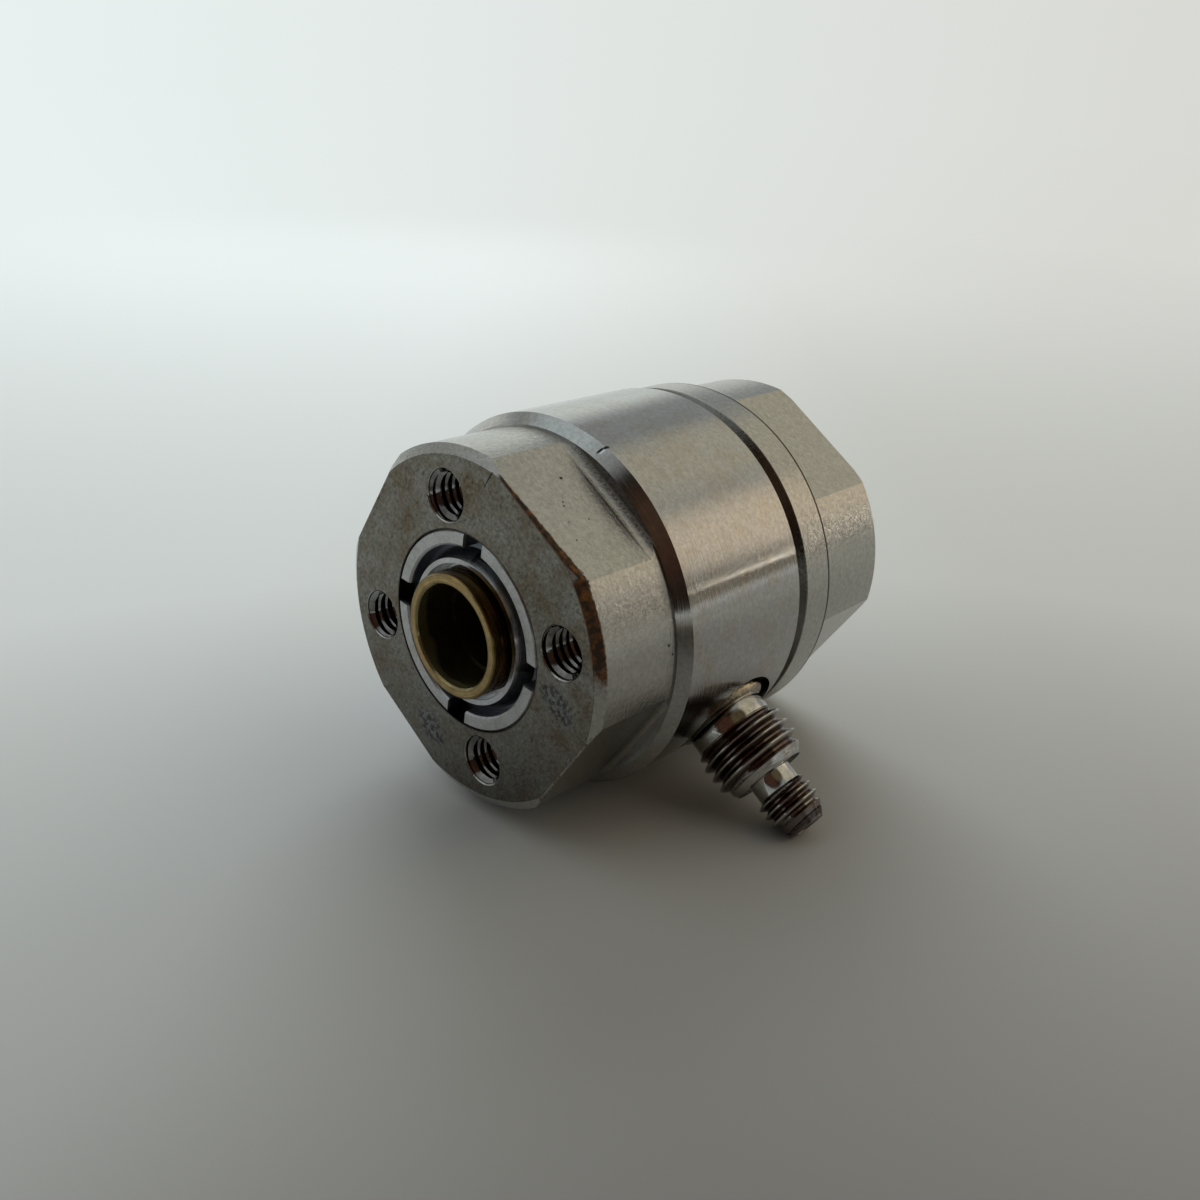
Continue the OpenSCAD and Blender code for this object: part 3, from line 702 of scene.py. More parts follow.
gloss = add(tree, "ShaderNodeMix", {0: on_face, 2: 0.2, 3: 0.4})
gloss = add(tree, "ShaderNodeMix", {0: in_hole, 2: gloss, 3: 0.15})
gloss = add(tree, "ShaderNodeMix", {0: rust, 2: gloss, 3: 0.7})
metal = add(tree, "ShaderNodeMath", {0: 1.0, 1: rust}, operation="SUBTRACT")
lines = tool_marks(tree, place, y, line_mm=0.2, line_share=0.6, grain_mm=0.25)
grain_share = add(tree, "ShaderNodeMix", {0: on_face, 2: 2.0, 3: 4.5})
face_pores = add(tree, "ShaderNodeMath", {0: pore, 1: on_face}, operation="MULTIPLY")
height = lines
for layer, rise in ((grain, grain_share), (marks, -1.5), (face_pores, -1.2)):
    height = add(tree, "ShaderNodeMath", {0: layer, 1: rise, 2: height}, operation="MULTIPLY_ADD")
relief = add(tree, "ShaderNodeBump", {"Height": height, "Distance": RELIEF, "Strength": 1.0})

# Ground and turned stainless steel: soft long reflections on the sides, and a dull
# olive face that shows the light only as a broad sheen.
steel = add(tree, "ShaderNodeBsdfPrincipled", {
    "Base Color": colour, "Metallic": metal, "Roughness": gloss,
    "Anisotropic": 0.8, "Anisotropic Rotation": QUARTER_TURN,
    "Tangent": lay_of_cut(tree, AXIS), "Normal": relief})
add(tree, "ShaderNodeOutputMaterial", {"Surface": steel})
print(flange_finish.name, len(tree.nodes), "nodes")

# %% [markdown]
# ## Turned steel
# The case and most small pieces are plain turned work. Each could have a material of
# its own from the start, but they differ only in colour, polish and depth of line, so
# one function makes the finish and is told those.

# %% Turned steel
SENSOR_AXIS = ((0, 0, 0), ACROSS_AXIS)
CONNECTOR_AXIS = ((0, PORT_Y / MM, 0), (0, 1, 1))
GLOSS_SPREAD = 0.05


def turned_steel(name, colour, stain, roughness, line_mm=0.16, line_share=0.8,
                 mark_mm=0.006, turned_about=SENSOR_AXIS, anisotropy=0.85):
    """Turned metal with fine lines round an axis, slightly uneven in colour and polish."""
    axis = AXIS if turned_about == SENSOR_AXIS else OUTWARD
    material, tree = start_material(name)
    place = sensor_place(tree)
    unevenness = add(tree, "ShaderNodeTexNoise", {
        "Vector": place, "Scale": 0.5, "Detail": 6.0, "Roughness": 0.6})
    stained = add(tree, "ShaderNodeMapRange", {
        "Value": unevenness, "From Min": 0.45, "From Max": 0.75})
    tone = add(tree, "ShaderNodeMix", {
        0: stained, 6: linear(colour), 7: linear(stain)}, data_type="RGBA")
    light = add(tree, "ShaderNodeMapRange", {
        "Value": leather_grain(tree, place), "From Min": 0.3, "From Max": 0.7,
        "To Min": 1.18, "To Max": 0.82})
    tone = add(tree, "ShaderNodeMix", {0: 1.0, 6: tone, 7: light},
               data_type="RGBA", blend_type="MULTIPLY")
    lines_at = turned_place(tree, place, *turned_about)
    marks = tool_marks(tree, place, lines_at, line_mm, line_share, grain_mm=0.25)
    gloss = add(tree, "ShaderNodeMapRange", {
        "Value": marks, "From Min": 0.35, "From Max": 0.65,
        "To Min": roughness - GLOSS_SPREAD, "To Max": roughness + GLOSS_SPREAD})
    relief = add(tree, "ShaderNodeBump", {
        "Height": marks, "Distance": mark_mm * MM, "Strength": 1.0})
    shader = add(tree, "ShaderNodeBsdfPrincipled", {
        "Base Color": tone, "Metallic": 1.0, "Roughness": gloss,
        "Anisotropic": anisotropy, "Anisotropic Rotation": QUARTER_TURN,
        "Tangent": lay_of_cut(tree, axis), "Normal": relief})
    add(tree, "ShaderNodeOutputMaterial", {"Surface": shader})
    return material, tree, shader, place


# %% [markdown]
# Dirt and marks are laid over a finished colour, as they are on the real pieces, and so
# are painted shade and painted light. Then the finish goes onto the CAD model's own pieces.

# %% Paint over, and dress
def paint_over(tree, shader, share, colour):
    """Lays a colour, a hex value or a node's output, over the shader's own where share is 1."""
    below = shader.inputs["Base Color"].links[0].from_socket
    above = linear(colour) if isinstance(colour, str) else colour
    painted = add(tree, "ShaderNodeMix", {0: share, 6: below, 7: above}, data_type="RGBA")
    give(tree, painted, shader.inputs["Base Color"])


def dress(material, *names):
    """Gives CAD nodes their finish."""
    for name in names:
        slots = nodes[name].data.materials
        slots.clear()
        slots.append(material)
    print(material.name, "on", ", ".join(names))


# %% [markdown]
# The case is turned finer than the flanges, and a knock left a nick with a burr on its
# coned edge. The nick could be cut into the mesh, but it is only a fifth of a millimetre
# wide, so colour stands in: painted shade in the nick and a painted highlight on the burr.

# %% Case and small steel pieces
NICK = [((-3.2, 8.4, 14.9), (0.1, 0.32, 0.5)), ((-3.1, 8.8, 15.2), (0.16, 0.25, 0.4))]
BURR = [((-3.0, 8.5, 15.0), (0.07, 0.35, 0.5))]

dress(flange_finish, "front_flange", "rear_flange")
# Fine-turned stainless steel: near mirror, with each reflection drawn out along the axis.
case_finish, tree, shader, place = turned_steel(
    "fine_turned_stainless_steel", "#a9a8a5", "#a39d92", 0.14, line_share=0.94,
    anisotropy=0.88)
# Painted highlight on the burr and painted shade in the nick.
for mark, colour in ((BURR, "#d9dcdc"), (NICK, "#1b1b1c")):
    paint_over(tree, shader, all_spots(tree, place, mark), colour)
dress(case_finish, "cell_case")
# Satin steel, finished with fine abrasive for plates and pins: even and soft, few lines.
satin_finish = turned_steel("satin_stainless_steel", "#adadac", "#9b9892", 0.34,
                            line_share=0.4)[0]
dress(satin_finish, "seal_ring", "front_load_plate", "rear_load_plate", "front_dowels",
      "rear_dowels")
# Tapped steel with an oily gloss: painted darker than the other steel as painted shade in
# the holes, unevenly brown, with small sharp glints on the crests.
tapped_finish = turned_steel("oily_tapped_steel_with_painted_shade", "#8d8b88", "#4a453f", 0.1,
                             line_share=0.3, anisotropy=0.3)[0]

# %% [markdown]
# The ring nut is clean on its face, and its recess and notches are painted darker as
# painted shade. A second material could fill them, but the shade fades in with depth, so
# the colour turns dark with depth too.

# %% Ring nut
UNSHADED_TO, SHADED_FROM = 0.16, 0.4

# Satin-turned steel: a quiet pale ring that sets off the dark edges round it.
nut_finish, tree, shader, place = turned_steel(
    "satin_steel_with_shaded_recess", "#adadac", "#9b9892", 0.32, line_share=0.4)
_, depth = radius_and_depth(tree, place)
below_face = add(tree, "ShaderNodeMapRange", {
    "Value": depth, "From Min": UNSHADED_TO, "From Max": SHADED_FROM})
# Painted shade in the recess and the notches, deeper down.
paint_over(tree, shader, below_face, "#64686e")
dress(nut_finish, "ring_nut")

# %% [markdown]
# ## Aged brass and painted shade in the bores
# The bores of the brass ring and of the hollow bolt behind it are painted black, as
# painted shade, with the gloss of grease. It could be a thin skin of its own, but a film
# has no thickness to see. So each piece's own shader changes colour, metal and polish
# inside a radius.

# %% Painted shade in the bores
def shaded_bore(tree, place, shader, bore_r):
    """Paints what lies inside a radius black as painted shade, glossy like grease and not quite
    even.
    """
    radius, _ = radius_and_depth(tree, place)
    inside = add(tree, "ShaderNodeMapRange", {
        "Value": radius, "From Min": bore_r + 0.06, "From Max": bore_r - 0.02},
                 interpolation_type="SMOOTHSTEP")
    film = add(tree, "ShaderNodeTexNoise", {"Vector": place, "Scale": 0.6, "Detail": 4.0})
    bore_shade = add(tree, "ShaderNodeMix", {
        0: film, 6: linear("#130f09"), 7: linear("#655a38")}, data_type="RGBA")
    # Painted shade inside the bore.
    paint_over(tree, shader, inside, bore_shade)
    clean_gloss = shader.inputs["Roughness"].links[0].from_socket
    for socket, clean, greasy in (("Metallic", 1.0, 0.6), ("Roughness", clean_gloss, 0.12)):
        mixed = add(tree, "ShaderNodeMix", {0: inside, 2: clean, 3: greasy})
        give(tree, mixed, shader.inputs[socket])


# %% [markdown]
# The brass ring's front is wiped pale between fine dark rings, and its outside is
# tarnished dark brown with golden streaks round it. Dirt stays in the turned lines, so
# the rings follow the same distance as the lines do, and the streaks are noise that is
# stretched round the piece.

# %% Brass ring
OUTSIDE_R = (4.9, 5.0)
STREAK_STRETCH = (0.25, 3.0, 0.25)

# Turned brass, once bright: a dull yellow that turns to warm brown away from the cloth.
brass_finish, tree, shader, place = turned_steel(
    "aged_brass", "#9c865c", "#7c6740", 0.25, line_mm=0.2, line_share=0.95, mark_mm=0.02)
rings_at = turned_place(tree, place, *SENSOR_AXIS)
rings = add(tree, "ShaderNodeTexNoise", {
    "W": rings_at, "Scale": 7.0, "Detail": 3.0, "Roughness": 0.7}, noise_dimensions="1D")
ring = add(tree, "ShaderNodeMapRange", {
    "Value": rings, "From Min": 0.42, "From Max": 0.62, "To Min": 1.25, "To Max": 0.6})
ringed = add(tree, "ShaderNodeMix", {
    0: 1.0, 6: shader.inputs["Base Color"].links[0].from_socket, 7: ring},
             data_type="RGBA", blend_type="MULTIPLY")
give(tree, ringed, shader.inputs["Base Color"])
radius, _ = radius_and_depth(tree, place)
outside = add(tree, "ShaderNodeMapRange", {
    "Value": radius, "From Min": OUTSIDE_R[0], "From Max": OUTSIDE_R[1]})
streak_place = add(tree, "ShaderNodeMapping", {"Vector": place, "Scale": STREAK_STRETCH})
streaks = add(tree, "ShaderNodeTexNoise", {"Vector": streak_place, "Scale": 1.2, "Detail": 5.0})
streak = add(tree, "ShaderNodeMapRange", {"Value": streaks, "From Min": 0.42, "From Max": 0.66})
tarnish = add(tree, "ShaderNodeMix", {
    0: streak, 6: linear("#3b2c17"), 7: linear("#8c6a34")}, data_type="RGBA")
paint_over(tree, shader, outside, tarnish)
shaded_bore(tree, place, shader, bore_r=4.2)

# %% [markdown]
# At the ring's lip the bore is painted olive, as painted light falling into it. Its border
# wanders. The bolt behind is polished, and its own bore is painted as dark as the ring's.

# %% Painted light at the lip, and the bolt
LIP_INSIDE_R, LIP_ENDS_Y = 4.24, (-1.8, -1.5)

y = add(tree, "ShaderNodeSeparateXYZ", {0: place}).outputs["Y"]
lip_wander = add(tree, "ShaderNodeTexNoise", {"Vector": place, "Scale": 0.22, "Detail": 2.0})
lip_edge = add(tree, "ShaderNodeMath", {0: lip_wander, 1: -2.4, 2: y}, operation="MULTIPLY_ADD")
lip = add(tree, "ShaderNodeMapRange", {
    "Value": lip_edge, "From Min": LIP_ENDS_Y[1], "From Max": LIP_ENDS_Y[0]})
inside = add(tree, "ShaderNodeMath", {0: radius, 1: LIP_INSIDE_R}, operation="LESS_THAN")
painted_lit_lip = add(tree, "ShaderNodeMath", {0: lip, 1: inside}, operation="MULTIPLY")
# Painted light: an olive band just inside the ring's lip.
paint_over(tree, shader, painted_lit_lip, "#8a7f58")
dress(brass_finish, "centring_ring")

# Turned and polished steel: bright, crisp lights on the bolt's bevel.
sleeve_finish, tree, shader, place = turned_steel(
    "polished_stainless_steel", "#b4b5b6", "#9b9892", 0.17)
# Painted shade in the bolt's bore.
shaded_bore(tree, place, shader, bore_r=5.06)
dress(sleeve_finish, "preload_sleeve")

# %% [markdown]
# ## What lies inside
# Nobody sees the inner pieces until the sensor is opened, so one plain finish would
# do. They are dressed in what such a sensor usually has there, because the part may be
# shown in section.

# %% Inner pieces
def plain_finish(name, colour, roughness, metallic=0.0, transmission=0.0):
    """A fine-grained finish for the small pieces inside."""
    material, tree = start_material(name)
    place = sensor_place(tree)
    grain = add(tree, "ShaderNodeTexNoise", {"Vector": place, "Scale": 3.0, "Detail": 4.0})
    light = add(tree, "ShaderNodeMapRange", {
        "Value": grain, "From Min": 0.3, "From Max": 0.7, "To Min": 0.9, "To Max": 1.1})
    tone = add(tree, "ShaderNodeMix", {0: 1.0, 6: linear(colour), 7: light},
               data_type="RGBA", blend_type="MULTIPLY")
    gloss = add(tree, "ShaderNodeMath", {0: grain, 1: 0.1, 2: roughness - 0.05},
                operation="MULTIPLY_ADD")
    relief = add(tree, "ShaderNodeBump", {"Height": grain, "Distance": 0.004 * MM})
    shader = add(tree, "ShaderNodeBsdfPrincipled", {
        "Base Color": tone, "Metallic": metallic, "Roughness": gloss,
        "Transmission Weight": transmission, "Normal": relief})
    add(tree, "ShaderNodeOutputMaterial", {"Surface": shader})
    return material


# Thin electroplated gold: a warm yellow with small clear lights.
gold_finish = plain_finish("gold_plated_contact", "#d0a44e", 0.2, metallic=1.0)
dress(gold_finish, "centre_contact", "electrode", "electrode_lead")
# Quartz crystal, lapped with fine grit: clear in depth, with a frosted skin.
quartz_finish = plain_finish("lapped_quartz", "#e8ebec", 0.25, transmission=0.6)
dress(quartz_finish, "front_quartz_ring", "rear_quartz_ring")
# Machined PTFE: waxy white without a sharp light.
ptfe_finish = plain_finish("white_ptfe", "#e6e5df", 0.45)
dress(ptfe_finish, "connector_insulator", "inner_insulator")
# Machined PEEK: beige with a faint shine.
dress(plain_finish("beige_peek", "#b59a72", 0.4), "outer_insulator")
# Fired alumina: ivory, with a tight small shine.
dress(plain_finish("alumina_ceramic", "#ece5d6", 0.35), "feedthrough_insulator")

# %% [markdown]
# ## Connector steel
# The connector was polished bright after turning. Between the crests of its threads and
# on its tip it is painted darker, as painted shade. The shade could be painted by hand
# turn by turn, but it sits wherever the thread is deep, so the distance from the
# connector's axis finds it.

# %% Connector steel
COUPLING_THREAD, CABLE_THREAD = (16.95, 20.6, 3.78, 3.94), (22.9, 25.0, 2.22, 2.36)
TIP_SHADE_FROM, TIP_SHADE_TO, TIP_SHADE_SHARE = 24.8, 25.3, 0.85


def crest_gap_shade(tree, at, own_r, first, last, root_r, crest_r):
    """1 at a thread's root and 0 on its crest, over one length of the connector."""
    here = add(tree, "ShaderNodeMath", {
        0: at, 1: (first + last) / 2, 2: (last - first) / 2}, operation="COMPARE")
    deep = add(tree, "ShaderNodeMapRange", {
        "Value": own_r, "From Min": crest_r, "From Max": root_r})
    return add(tree, "ShaderNodeMath", {0: here, 1: deep}, operation="MULTIPLY")


# Turned and polished steel: almost a mirror, so each crest carries one thin bright line.
bright_finish, tree, shader, place = turned_steel(
    "bright_turned_stainless_steel", "#b3b1ac", "#a09b91", 0.1, turned_about=CONNECTOR_AXIS,
    mark_mm=0.002)
at = add(tree, "ShaderNodeSeparateXYZ", {0: place}).outputs["X"]
port_centre, across_connector = CONNECTOR_AXIS
from_axis = add(tree, "ShaderNodeVectorMath", {0: place, 1: port_centre}, operation="SUBTRACT")
from_axis = add(tree, "ShaderNodeVectorMath", {0: from_axis, 1: across_connector},
                operation="MULTIPLY")
own_r = add(tree, "ShaderNodeVectorMath", {0: from_axis}, operation="LENGTH")
tip_shade = add(tree, "ShaderNodeMapRange", {
    "Value": at, "From Min": TIP_SHADE_FROM, "From Max": TIP_SHADE_TO, "To Max": TIP_SHADE_SHARE})
connector_shade = tip_shade
for thread in (COUPLING_THREAD, CABLE_THREAD):
    connector_shade = add(tree, "ShaderNodeMath", {
        0: connector_shade, 1: crest_gap_shade(tree, at, own_r, *thread)}, operation="MAXIMUM")
# Painted shade between the crests and on the tip.
paint_over(tree, shader, connector_shade, "#63564f")
dress(bright_finish, "connector_socket", "connector_body")

# %% [markdown]
# ## Shapes added to the model
# The CAD model has no weld and no real threads, so three shapes are added here. Small
# helpers spin an outline, join meshes and turn the result into a piece.

# %% Helpers for shapes
def spun(bm, outline, steps):
    """Spins a closed outline of (radius, height) points once round Z, in metres."""
    verts = [bm.verts.new((r, 0, at)) for r, at in outline]
    edges = [bm.edges.new((verts[i - 1], verts[i])) for i in range(len(verts))]
    bmesh.ops.spin(bm, geom=verts + edges, cent=(0, 0, 0), axis=(0, 0, 1),
                   angle=math.tau, steps=steps, use_merge=True)
    bmesh.ops.recalc_face_normals(bm, faces=bm.faces)


def join(bm, part):
    """Adds a second bmesh to the first one and frees it."""
    scratch = bpy.data.meshes.new("scratch")
    part.to_mesh(scratch)
    bm.from_mesh(scratch)
    bpy.data.meshes.remove(scratch)
    part.free()


def piece_from(bm, name, material, smooth_deg):
    """Turns a bmesh into a piece of the sensor that rides on its one body."""
    mesh = bpy.data.meshes.new(name)
    bm.to_mesh(mesh)
    bm.free()
    mesh.materials.append(material)
    mesh.shade_smooth()
    mesh.set_sharp_from_angle(angle=math.radians(smooth_deg))
    piece = bpy.data.objects.new(name, mesh)
    bpy.context.scene.collection.objects.link(piece)
    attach(piece, "root")
    print(name, len(mesh.polygons), "faces")
    return piece


# %% [markdown]
# The weld bead and the connector are built upright, with Z as their axis, and then
# laid along the connector's direction. A ridge starts at their X, which points to the
# left of the view, and the heights of the crests below are counted there.

# %% Connector's own frame
left_of_view = -OUTWARD.cross(CAMERA_LOOKS).normalized()
CONNECTOR_FRAME = Matrix.Translation((0, PORT_Y, 0)) @ Matrix((
    left_of_view, OUTWARD.cross(left_of_view), OUTWARD)).transposed().to_4x4()
print("connector points to", [round(side, 3) for side in OUTWARD])

# %% [markdown]
# A weld closes the port round the socket, as a rounded fillet of frozen metal. A
# bevel on the case could stand for it, but a ring of its own can have its own finish.
# The outline is a quarter of an ellipse, spun once round.

# %% Weld bead
BEAD_INNER_R, BEAD_OUTER_R = 3.5 * MM, 4.15 * MM
BEAD_TOP_AT, BEAD_FOOT_AT, BEAD_BASE_AT = 15.44 * MM, 14.85 * MM, 14.35 * MM
ROUND_STEPS = 8
DARK_ENDS_CENTRE_Y, DARK_ENDS_FROM, DARK_ENDS_TO, DARK_ENDS_SHARE = 17.9, 1.6, 3.4, 0.85

bm = bmesh.new()
outline = [(BEAD_INNER_R, BEAD_BASE_AT)]
for step in range(ROUND_STEPS + 1):
    turned = math.radians(90 * step / ROUND_STEPS)
    outline.append((BEAD_INNER_R + (BEAD_OUTER_R - BEAD_INNER_R) * math.sin(turned),
                    BEAD_FOOT_AT + (BEAD_TOP_AT - BEAD_FOOT_AT) * math.cos(turned)))
outline.append((BEAD_OUTER_R, BEAD_BASE_AT))
spun(bm, outline, steps=144)
bmesh.ops.transform(bm, matrix=CONNECTOR_FRAME, verts=bm.verts)

# Steel frozen from the melt: fine rough grain, tinted gold by the heat, and darker
# towards both ends of the port.
bead_finish, tree, shader, place = turned_steel(
    "heat_tinted_weld_steel", "#b8ab92", "#5c4635", 0.2, line_mm=0.3, line_share=0.1,
    mark_mm=0.09, turned_about=CONNECTOR_AXIS, anisotropy=0.2)
y = add(tree, "ShaderNodeSeparateXYZ", {0: place}).outputs["Y"]
from_middle = add(tree, "ShaderNodeMath", {0: y, 1: DARK_ENDS_CENTRE_Y}, operation="SUBTRACT")
from_middle = add(tree, "ShaderNodeMath", {0: from_middle}, operation="ABSOLUTE")
darker_ends = add(tree, "ShaderNodeMapRange", {
    "Value": from_middle, "From Min": DARK_ENDS_FROM, "From Max": DARK_ENDS_TO, "To Max": DARK_ENDS_SHARE})
# Darker towards both ends of the port.
paint_over(tree, shader, darker_ends, "#33261e")
piece = piece_from(bm, "weld_bead", bead_finish, smooth_deg=50)

# %% [markdown]
# ## Threads
# A thread is a ridge that winds round the axis. A screw modifier could make one, but
# spinning its section by hand leaves both ends open to be shaped. The section is a
# small trapezium, and spin moves it on by one pitch a turn. Whatever stands past the
# lead-in chamfer is pulled back onto it, as the die or tap leaves it.

# %% Thread ridge
STEPS_A_TURN = 48
FLANK_DEG = 30
ROOT_SHARE, ROUND_SHARE = 0.44, 0.05


def thread_ridge(bm, root_r, crest_r, pitch, start, end):
    """Winds a right-hand ridge about Z from height start to end, all in metres."""
    height = abs(crest_r - root_r)
    outward = 1 if crest_r > root_r else -1
    soft = ROUND_SHARE * pitch
    root_half = ROOT_SHARE * pitch
    crest_half = max(root_half - height * math.tan(math.radians(FLANK_DEG)), soft)
    section = [
        (root_r, -root_half), (crest_r - outward * soft, -crest_half - soft / 2),
        (crest_r, -crest_half + soft / 2), (crest_r, crest_half - soft / 2),
        (crest_r - outward * soft, crest_half + soft / 2), (root_r, root_half)]
    verts = [bm.verts.new((r, 0, start + h)) for r, h in section]
    edges = [bm.edges.new((verts[i - 1], verts[i])) for i in range(len(verts))]
    steps = round((end - start) / pitch * STEPS_A_TURN)
    grown = bmesh.ops.spin(bm, geom=verts + edges, cent=(0, 0, 0), axis=(0, 0, 1),
                           dvec=(0, 0, pitch / STEPS_A_TURN),
                           angle=math.tau * steps / STEPS_A_TURN, steps=steps)
    last = [e for e in grown["geom_last"] if isinstance(e, bmesh.types.BMEdge)]
    bmesh.ops.contextual_create(bm, geom=edges)
    bmesh.ops.contextual_create(bm, geom=last)


# %% Cut and chamfer of a ridge
def trim(bm, height, keep_above, close=True):
    """Cuts the bmesh flat at a height, and closes the cut unless it stays buried."""
    cut = bmesh.ops.bisect_plane(
        bm, geom=bm.verts[:] + bm.edges[:] + bm.faces[:], plane_co=(0, 0, height),
        plane_no=(0, 0, 1), clear_inner=keep_above, clear_outer=not keep_above)
    rim = [e for e in cut["geom_cut"] if isinstance(e, bmesh.types.BMEdge)]
    if close:
        bmesh.ops.holes_fill(bm, edges=rim, sides=0)


def pull_in(bm, limit_r):
    """Pulls every point that stands past a limiting radius at its height back onto it."""
    for vert in bm.verts:
        r, allowed = Vector((vert.co.x, vert.co.y)).length, limit_r(vert.co.z)
        if r > allowed:
            vert.co.x *= allowed / r
            vert.co.y *= allowed / r


# %% [markdown]
# The tap cut the same thread into all eight holes of the end faces. One hole's ridge
# points inward from the wall and is buried a little in it. Eight threads could be
# spun, but one is enough for each face: it is copied to the four holes.

# %% Threads of the end-face holes
TAP_R, HOLE_R, HOLE_MOUTH_R = 1.62 * MM, 2.0 * MM, 2.15 * MM
HOLE_PITCH, HOLE_THREAD_L = 0.7 * MM, 5.6 * MM
BURIED, CLEAR = 0.03 * MM, 0.02 * MM
RUN_IN = 0.3 * MM
HOLES = 4


def hole_threads(name, material, end_face_y, inward):
    """The threads of one end face's four holes."""
    bm = bmesh.new()
    thread_ridge(bm, HOLE_R + BURIED, TAP_R, HOLE_PITCH, -RUN_IN, HOLE_THREAD_L)
    trim(bm, CLEAR, keep_above=True, close=False)
    trim(bm, HOLE_THREAD_L - CLEAR, keep_above=False)
    for vert in bm.verts:
        r = Vector((vert.co.x, vert.co.y)).length
        lead_in_r = HOLE_MOUTH_R + CLEAR - vert.co.z
        if r < lead_in_r:
            vert.co.x *= lead_in_r / r
            vert.co.y *= lead_in_r / r
    one_hole = bm.copy()
    bm.clear()
    for quarter in range(HOLES):
        spin_to_axis = Matrix.Rotation(-inward * math.pi / 2, 4, "X")
        around = Matrix.Rotation(math.pi / 4 + quarter * math.pi / 2 + LIE_ROLL, 4, "Y")
        matrix = (Matrix.Translation((0, end_face_y, 0)) @ around
                  @ Matrix.Translation((HOLE_CIRCLE_R, 0, 0)) @ spin_to_axis)
        moved = one_hole.copy()
        bmesh.ops.transform(moved, matrix=matrix, verts=moved.verts)
        join(bm, moved)
    one_hole.free()
    bmesh.ops.recalc_face_normals(bm, faces=bm.faces)
    piece = piece_from(bm, name, material, smooth_deg=40)


hole_threads("front_hole_threads", tapped_finish, 0, 1)
hole_threads("rear_hole_threads", tapped_finish, LENGTH, -1)

# %% [markdown]
# ## The connector
# One turned piece: neck, coupling thread, stem, cable thread and tip. The ridges could
# be added to the plain CAD piece, but it is full to the crests. So the piece is drawn
# again at the depth of the roots: its outline is spun, and its corners are broken.

# %% Connector's turned form
NECK_R, RELIEF_R = 3.45 * MM, 3.2 * MM
COUPLING_R, COUPLING_ROOT_R, COUPLING_PITCH = 4.0 * MM, 3.37 * MM, 1.0 * MM
CABLE_R, CABLE_ROOT_R, CABLE_PITCH = 2.4 * MM, 1.93 * MM, 0.794 * MM
SPIGOT_R, BORE_R, STEM_R = 2.47 * MM, 1.15 * MM, 1.9 * MM
SPIGOT_AT, NECK_AT, RELIEF_AT, COUPLING_AT = 14.4 * MM, 15.5 * MM, 16.9 * MM, 17.05 * MM
STEM_AT, CABLE_AT, TIP_END = 21.45 * MM, 22.85 * MM, 26.5 * MM
COUPLING_END_R, TIP_R = 3.1 * MM, 1.45 * MM
COUPLING_SLOPE, TIP_SLOPE = 0.9 / 1.3, 0.95 / 1.7
TIP_GROOVE, GROOVE_BACK, GROOVE_FRONT = 0.12 * MM, 0.4 * MM, 0.25 * MM
BROKEN_EDGE, SHARP_DEG = 0.03 * MM, 25

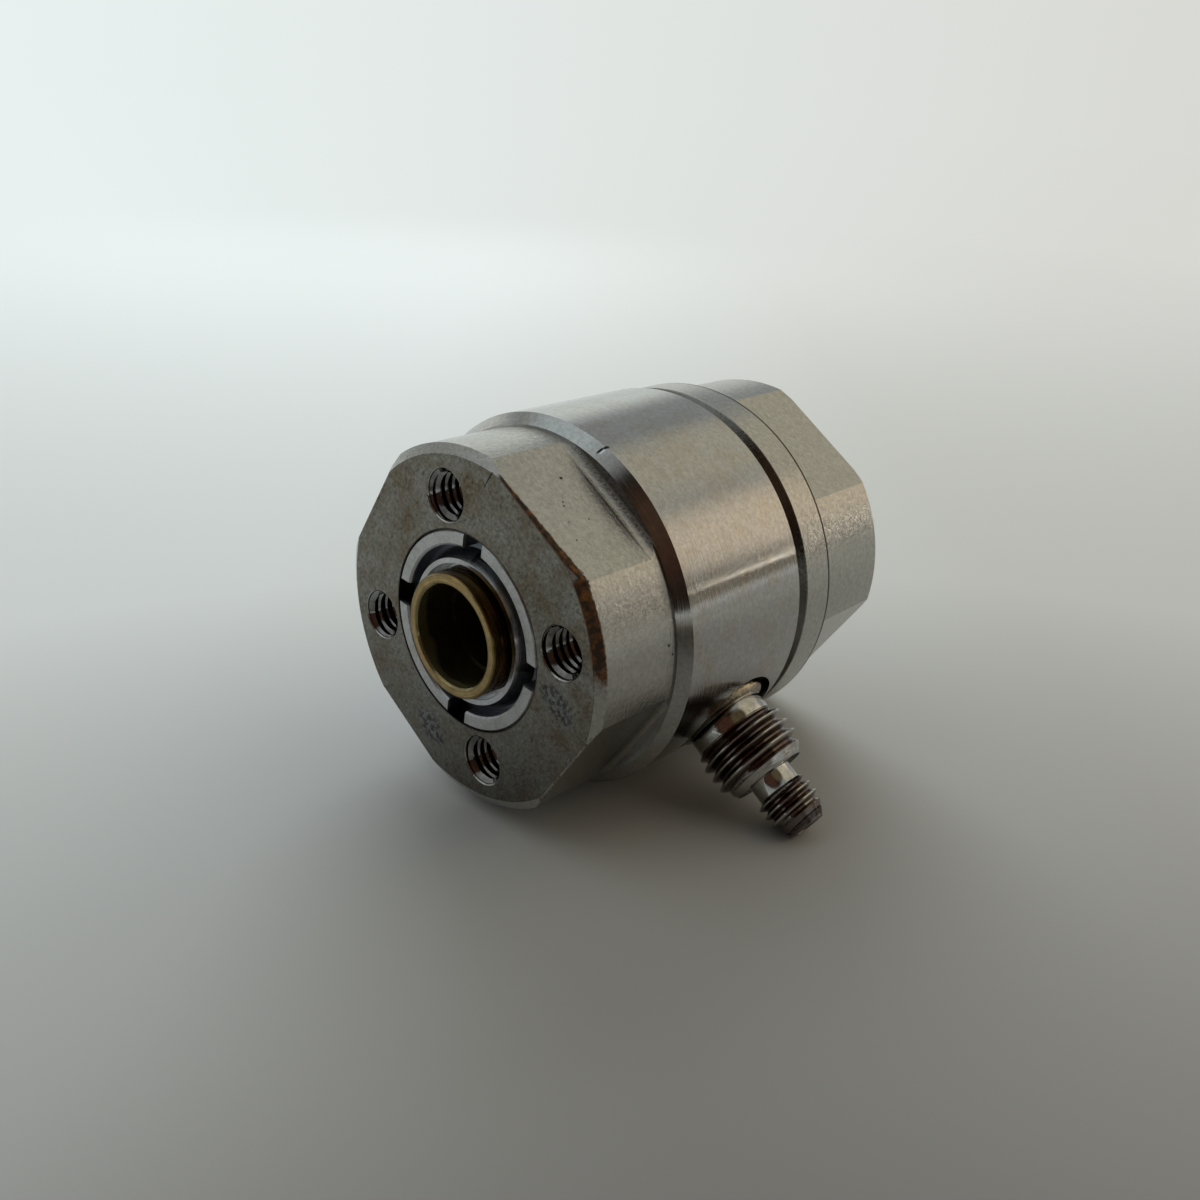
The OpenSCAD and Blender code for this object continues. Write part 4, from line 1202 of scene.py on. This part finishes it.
coupling_run_out = STEM_AT - (COUPLING_ROOT_R - COUPLING_END_R) / COUPLING_SLOPE
groove_r = TIP_R - TIP_GROOVE
cable_run_out = TIP_END - (CABLE_ROOT_R - groove_r) / TIP_SLOPE
outline = [
    (BORE_R, SPIGOT_AT), (SPIGOT_R, SPIGOT_AT), (SPIGOT_R, NECK_AT), (NECK_R, NECK_AT),
    (NECK_R, RELIEF_AT), (RELIEF_R, RELIEF_AT), (RELIEF_R, COUPLING_AT),
    (COUPLING_ROOT_R, COUPLING_AT), (COUPLING_ROOT_R, coupling_run_out),
    (COUPLING_END_R, STEM_AT), (STEM_R, STEM_AT), (STEM_R, CABLE_AT),
    (CABLE_ROOT_R, CABLE_AT), (CABLE_ROOT_R, cable_run_out),
    (groove_r + TIP_SLOPE * GROOVE_BACK, TIP_END - GROOVE_BACK),
    (TIP_R + TIP_SLOPE * GROOVE_FRONT, TIP_END - GROOVE_FRONT), (TIP_R, TIP_END),
    (BORE_R, TIP_END)]
bm = bmesh.new()
spun(bm, outline, steps=96)
corners = [e for e in bm.edges
           if len(e.link_faces) == 2 and e.calc_face_angle() > math.radians(SHARP_DEG)]
bmesh.ops.bevel(bm, geom=corners, offset=BROKEN_EDGE, segments=2, profile=0.5,
                affect="EDGES", material=-1)
print("connector", round((TIP_END - SPIGOT_AT) / MM, 2), "mm long,", len(corners), "edges broken")

# %% [markdown]
# Both threads run from a short lead-in to a long chamfer at their outer end. Each
# ridge starts one turn early and is cut off flat, so that its end lies in the shoulder.

# %% Connector's threads
COUPLING_CREST_AT, CABLE_CREST_AT = 17.15 * MM, 23.3 * MM
COUPLING_START_R, CABLE_START_R = 3.62 * MM, 2.1 * MM
CABLE_CUT_BACK = 0.1 * MM

coupling = bmesh.new()
thread_ridge(coupling, COUPLING_ROOT_R - BURIED, COUPLING_R, COUPLING_PITCH,
             COUPLING_CREST_AT - COUPLING_PITCH, STEM_AT + COUPLING_PITCH / 2)
trim(coupling, COUPLING_AT, keep_above=True)
trim(coupling, STEM_AT, keep_above=False)
pull_in(coupling, lambda at: min(COUPLING_START_R + (at - COUPLING_AT),
                                 COUPLING_END_R + COUPLING_SLOPE * (STEM_AT - at)))
cable = bmesh.new()
thread_ridge(cable, CABLE_ROOT_R - BURIED, CABLE_R, CABLE_PITCH,
             CABLE_CREST_AT - CABLE_PITCH, TIP_END)
trim(cable, CABLE_AT, keep_above=True)
trim(cable, TIP_END - CABLE_CUT_BACK, keep_above=False)
pull_in(cable, lambda at: min(CABLE_START_R + (at - CABLE_AT),
                              TIP_R + TIP_SLOPE * (TIP_END - at)))
for ridge in (coupling, cable):
    bmesh.ops.recalc_face_normals(ridge, faces=ridge.faces)
    join(bm, ridge)
bmesh.ops.transform(bm, matrix=CONNECTOR_FRAME, verts=bm.verts)
piece = piece_from(bm, "threaded_connector", bright_finish, smooth_deg=40)
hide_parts("connector_body")

# %% Finish
bpy.context.view_layer.update()
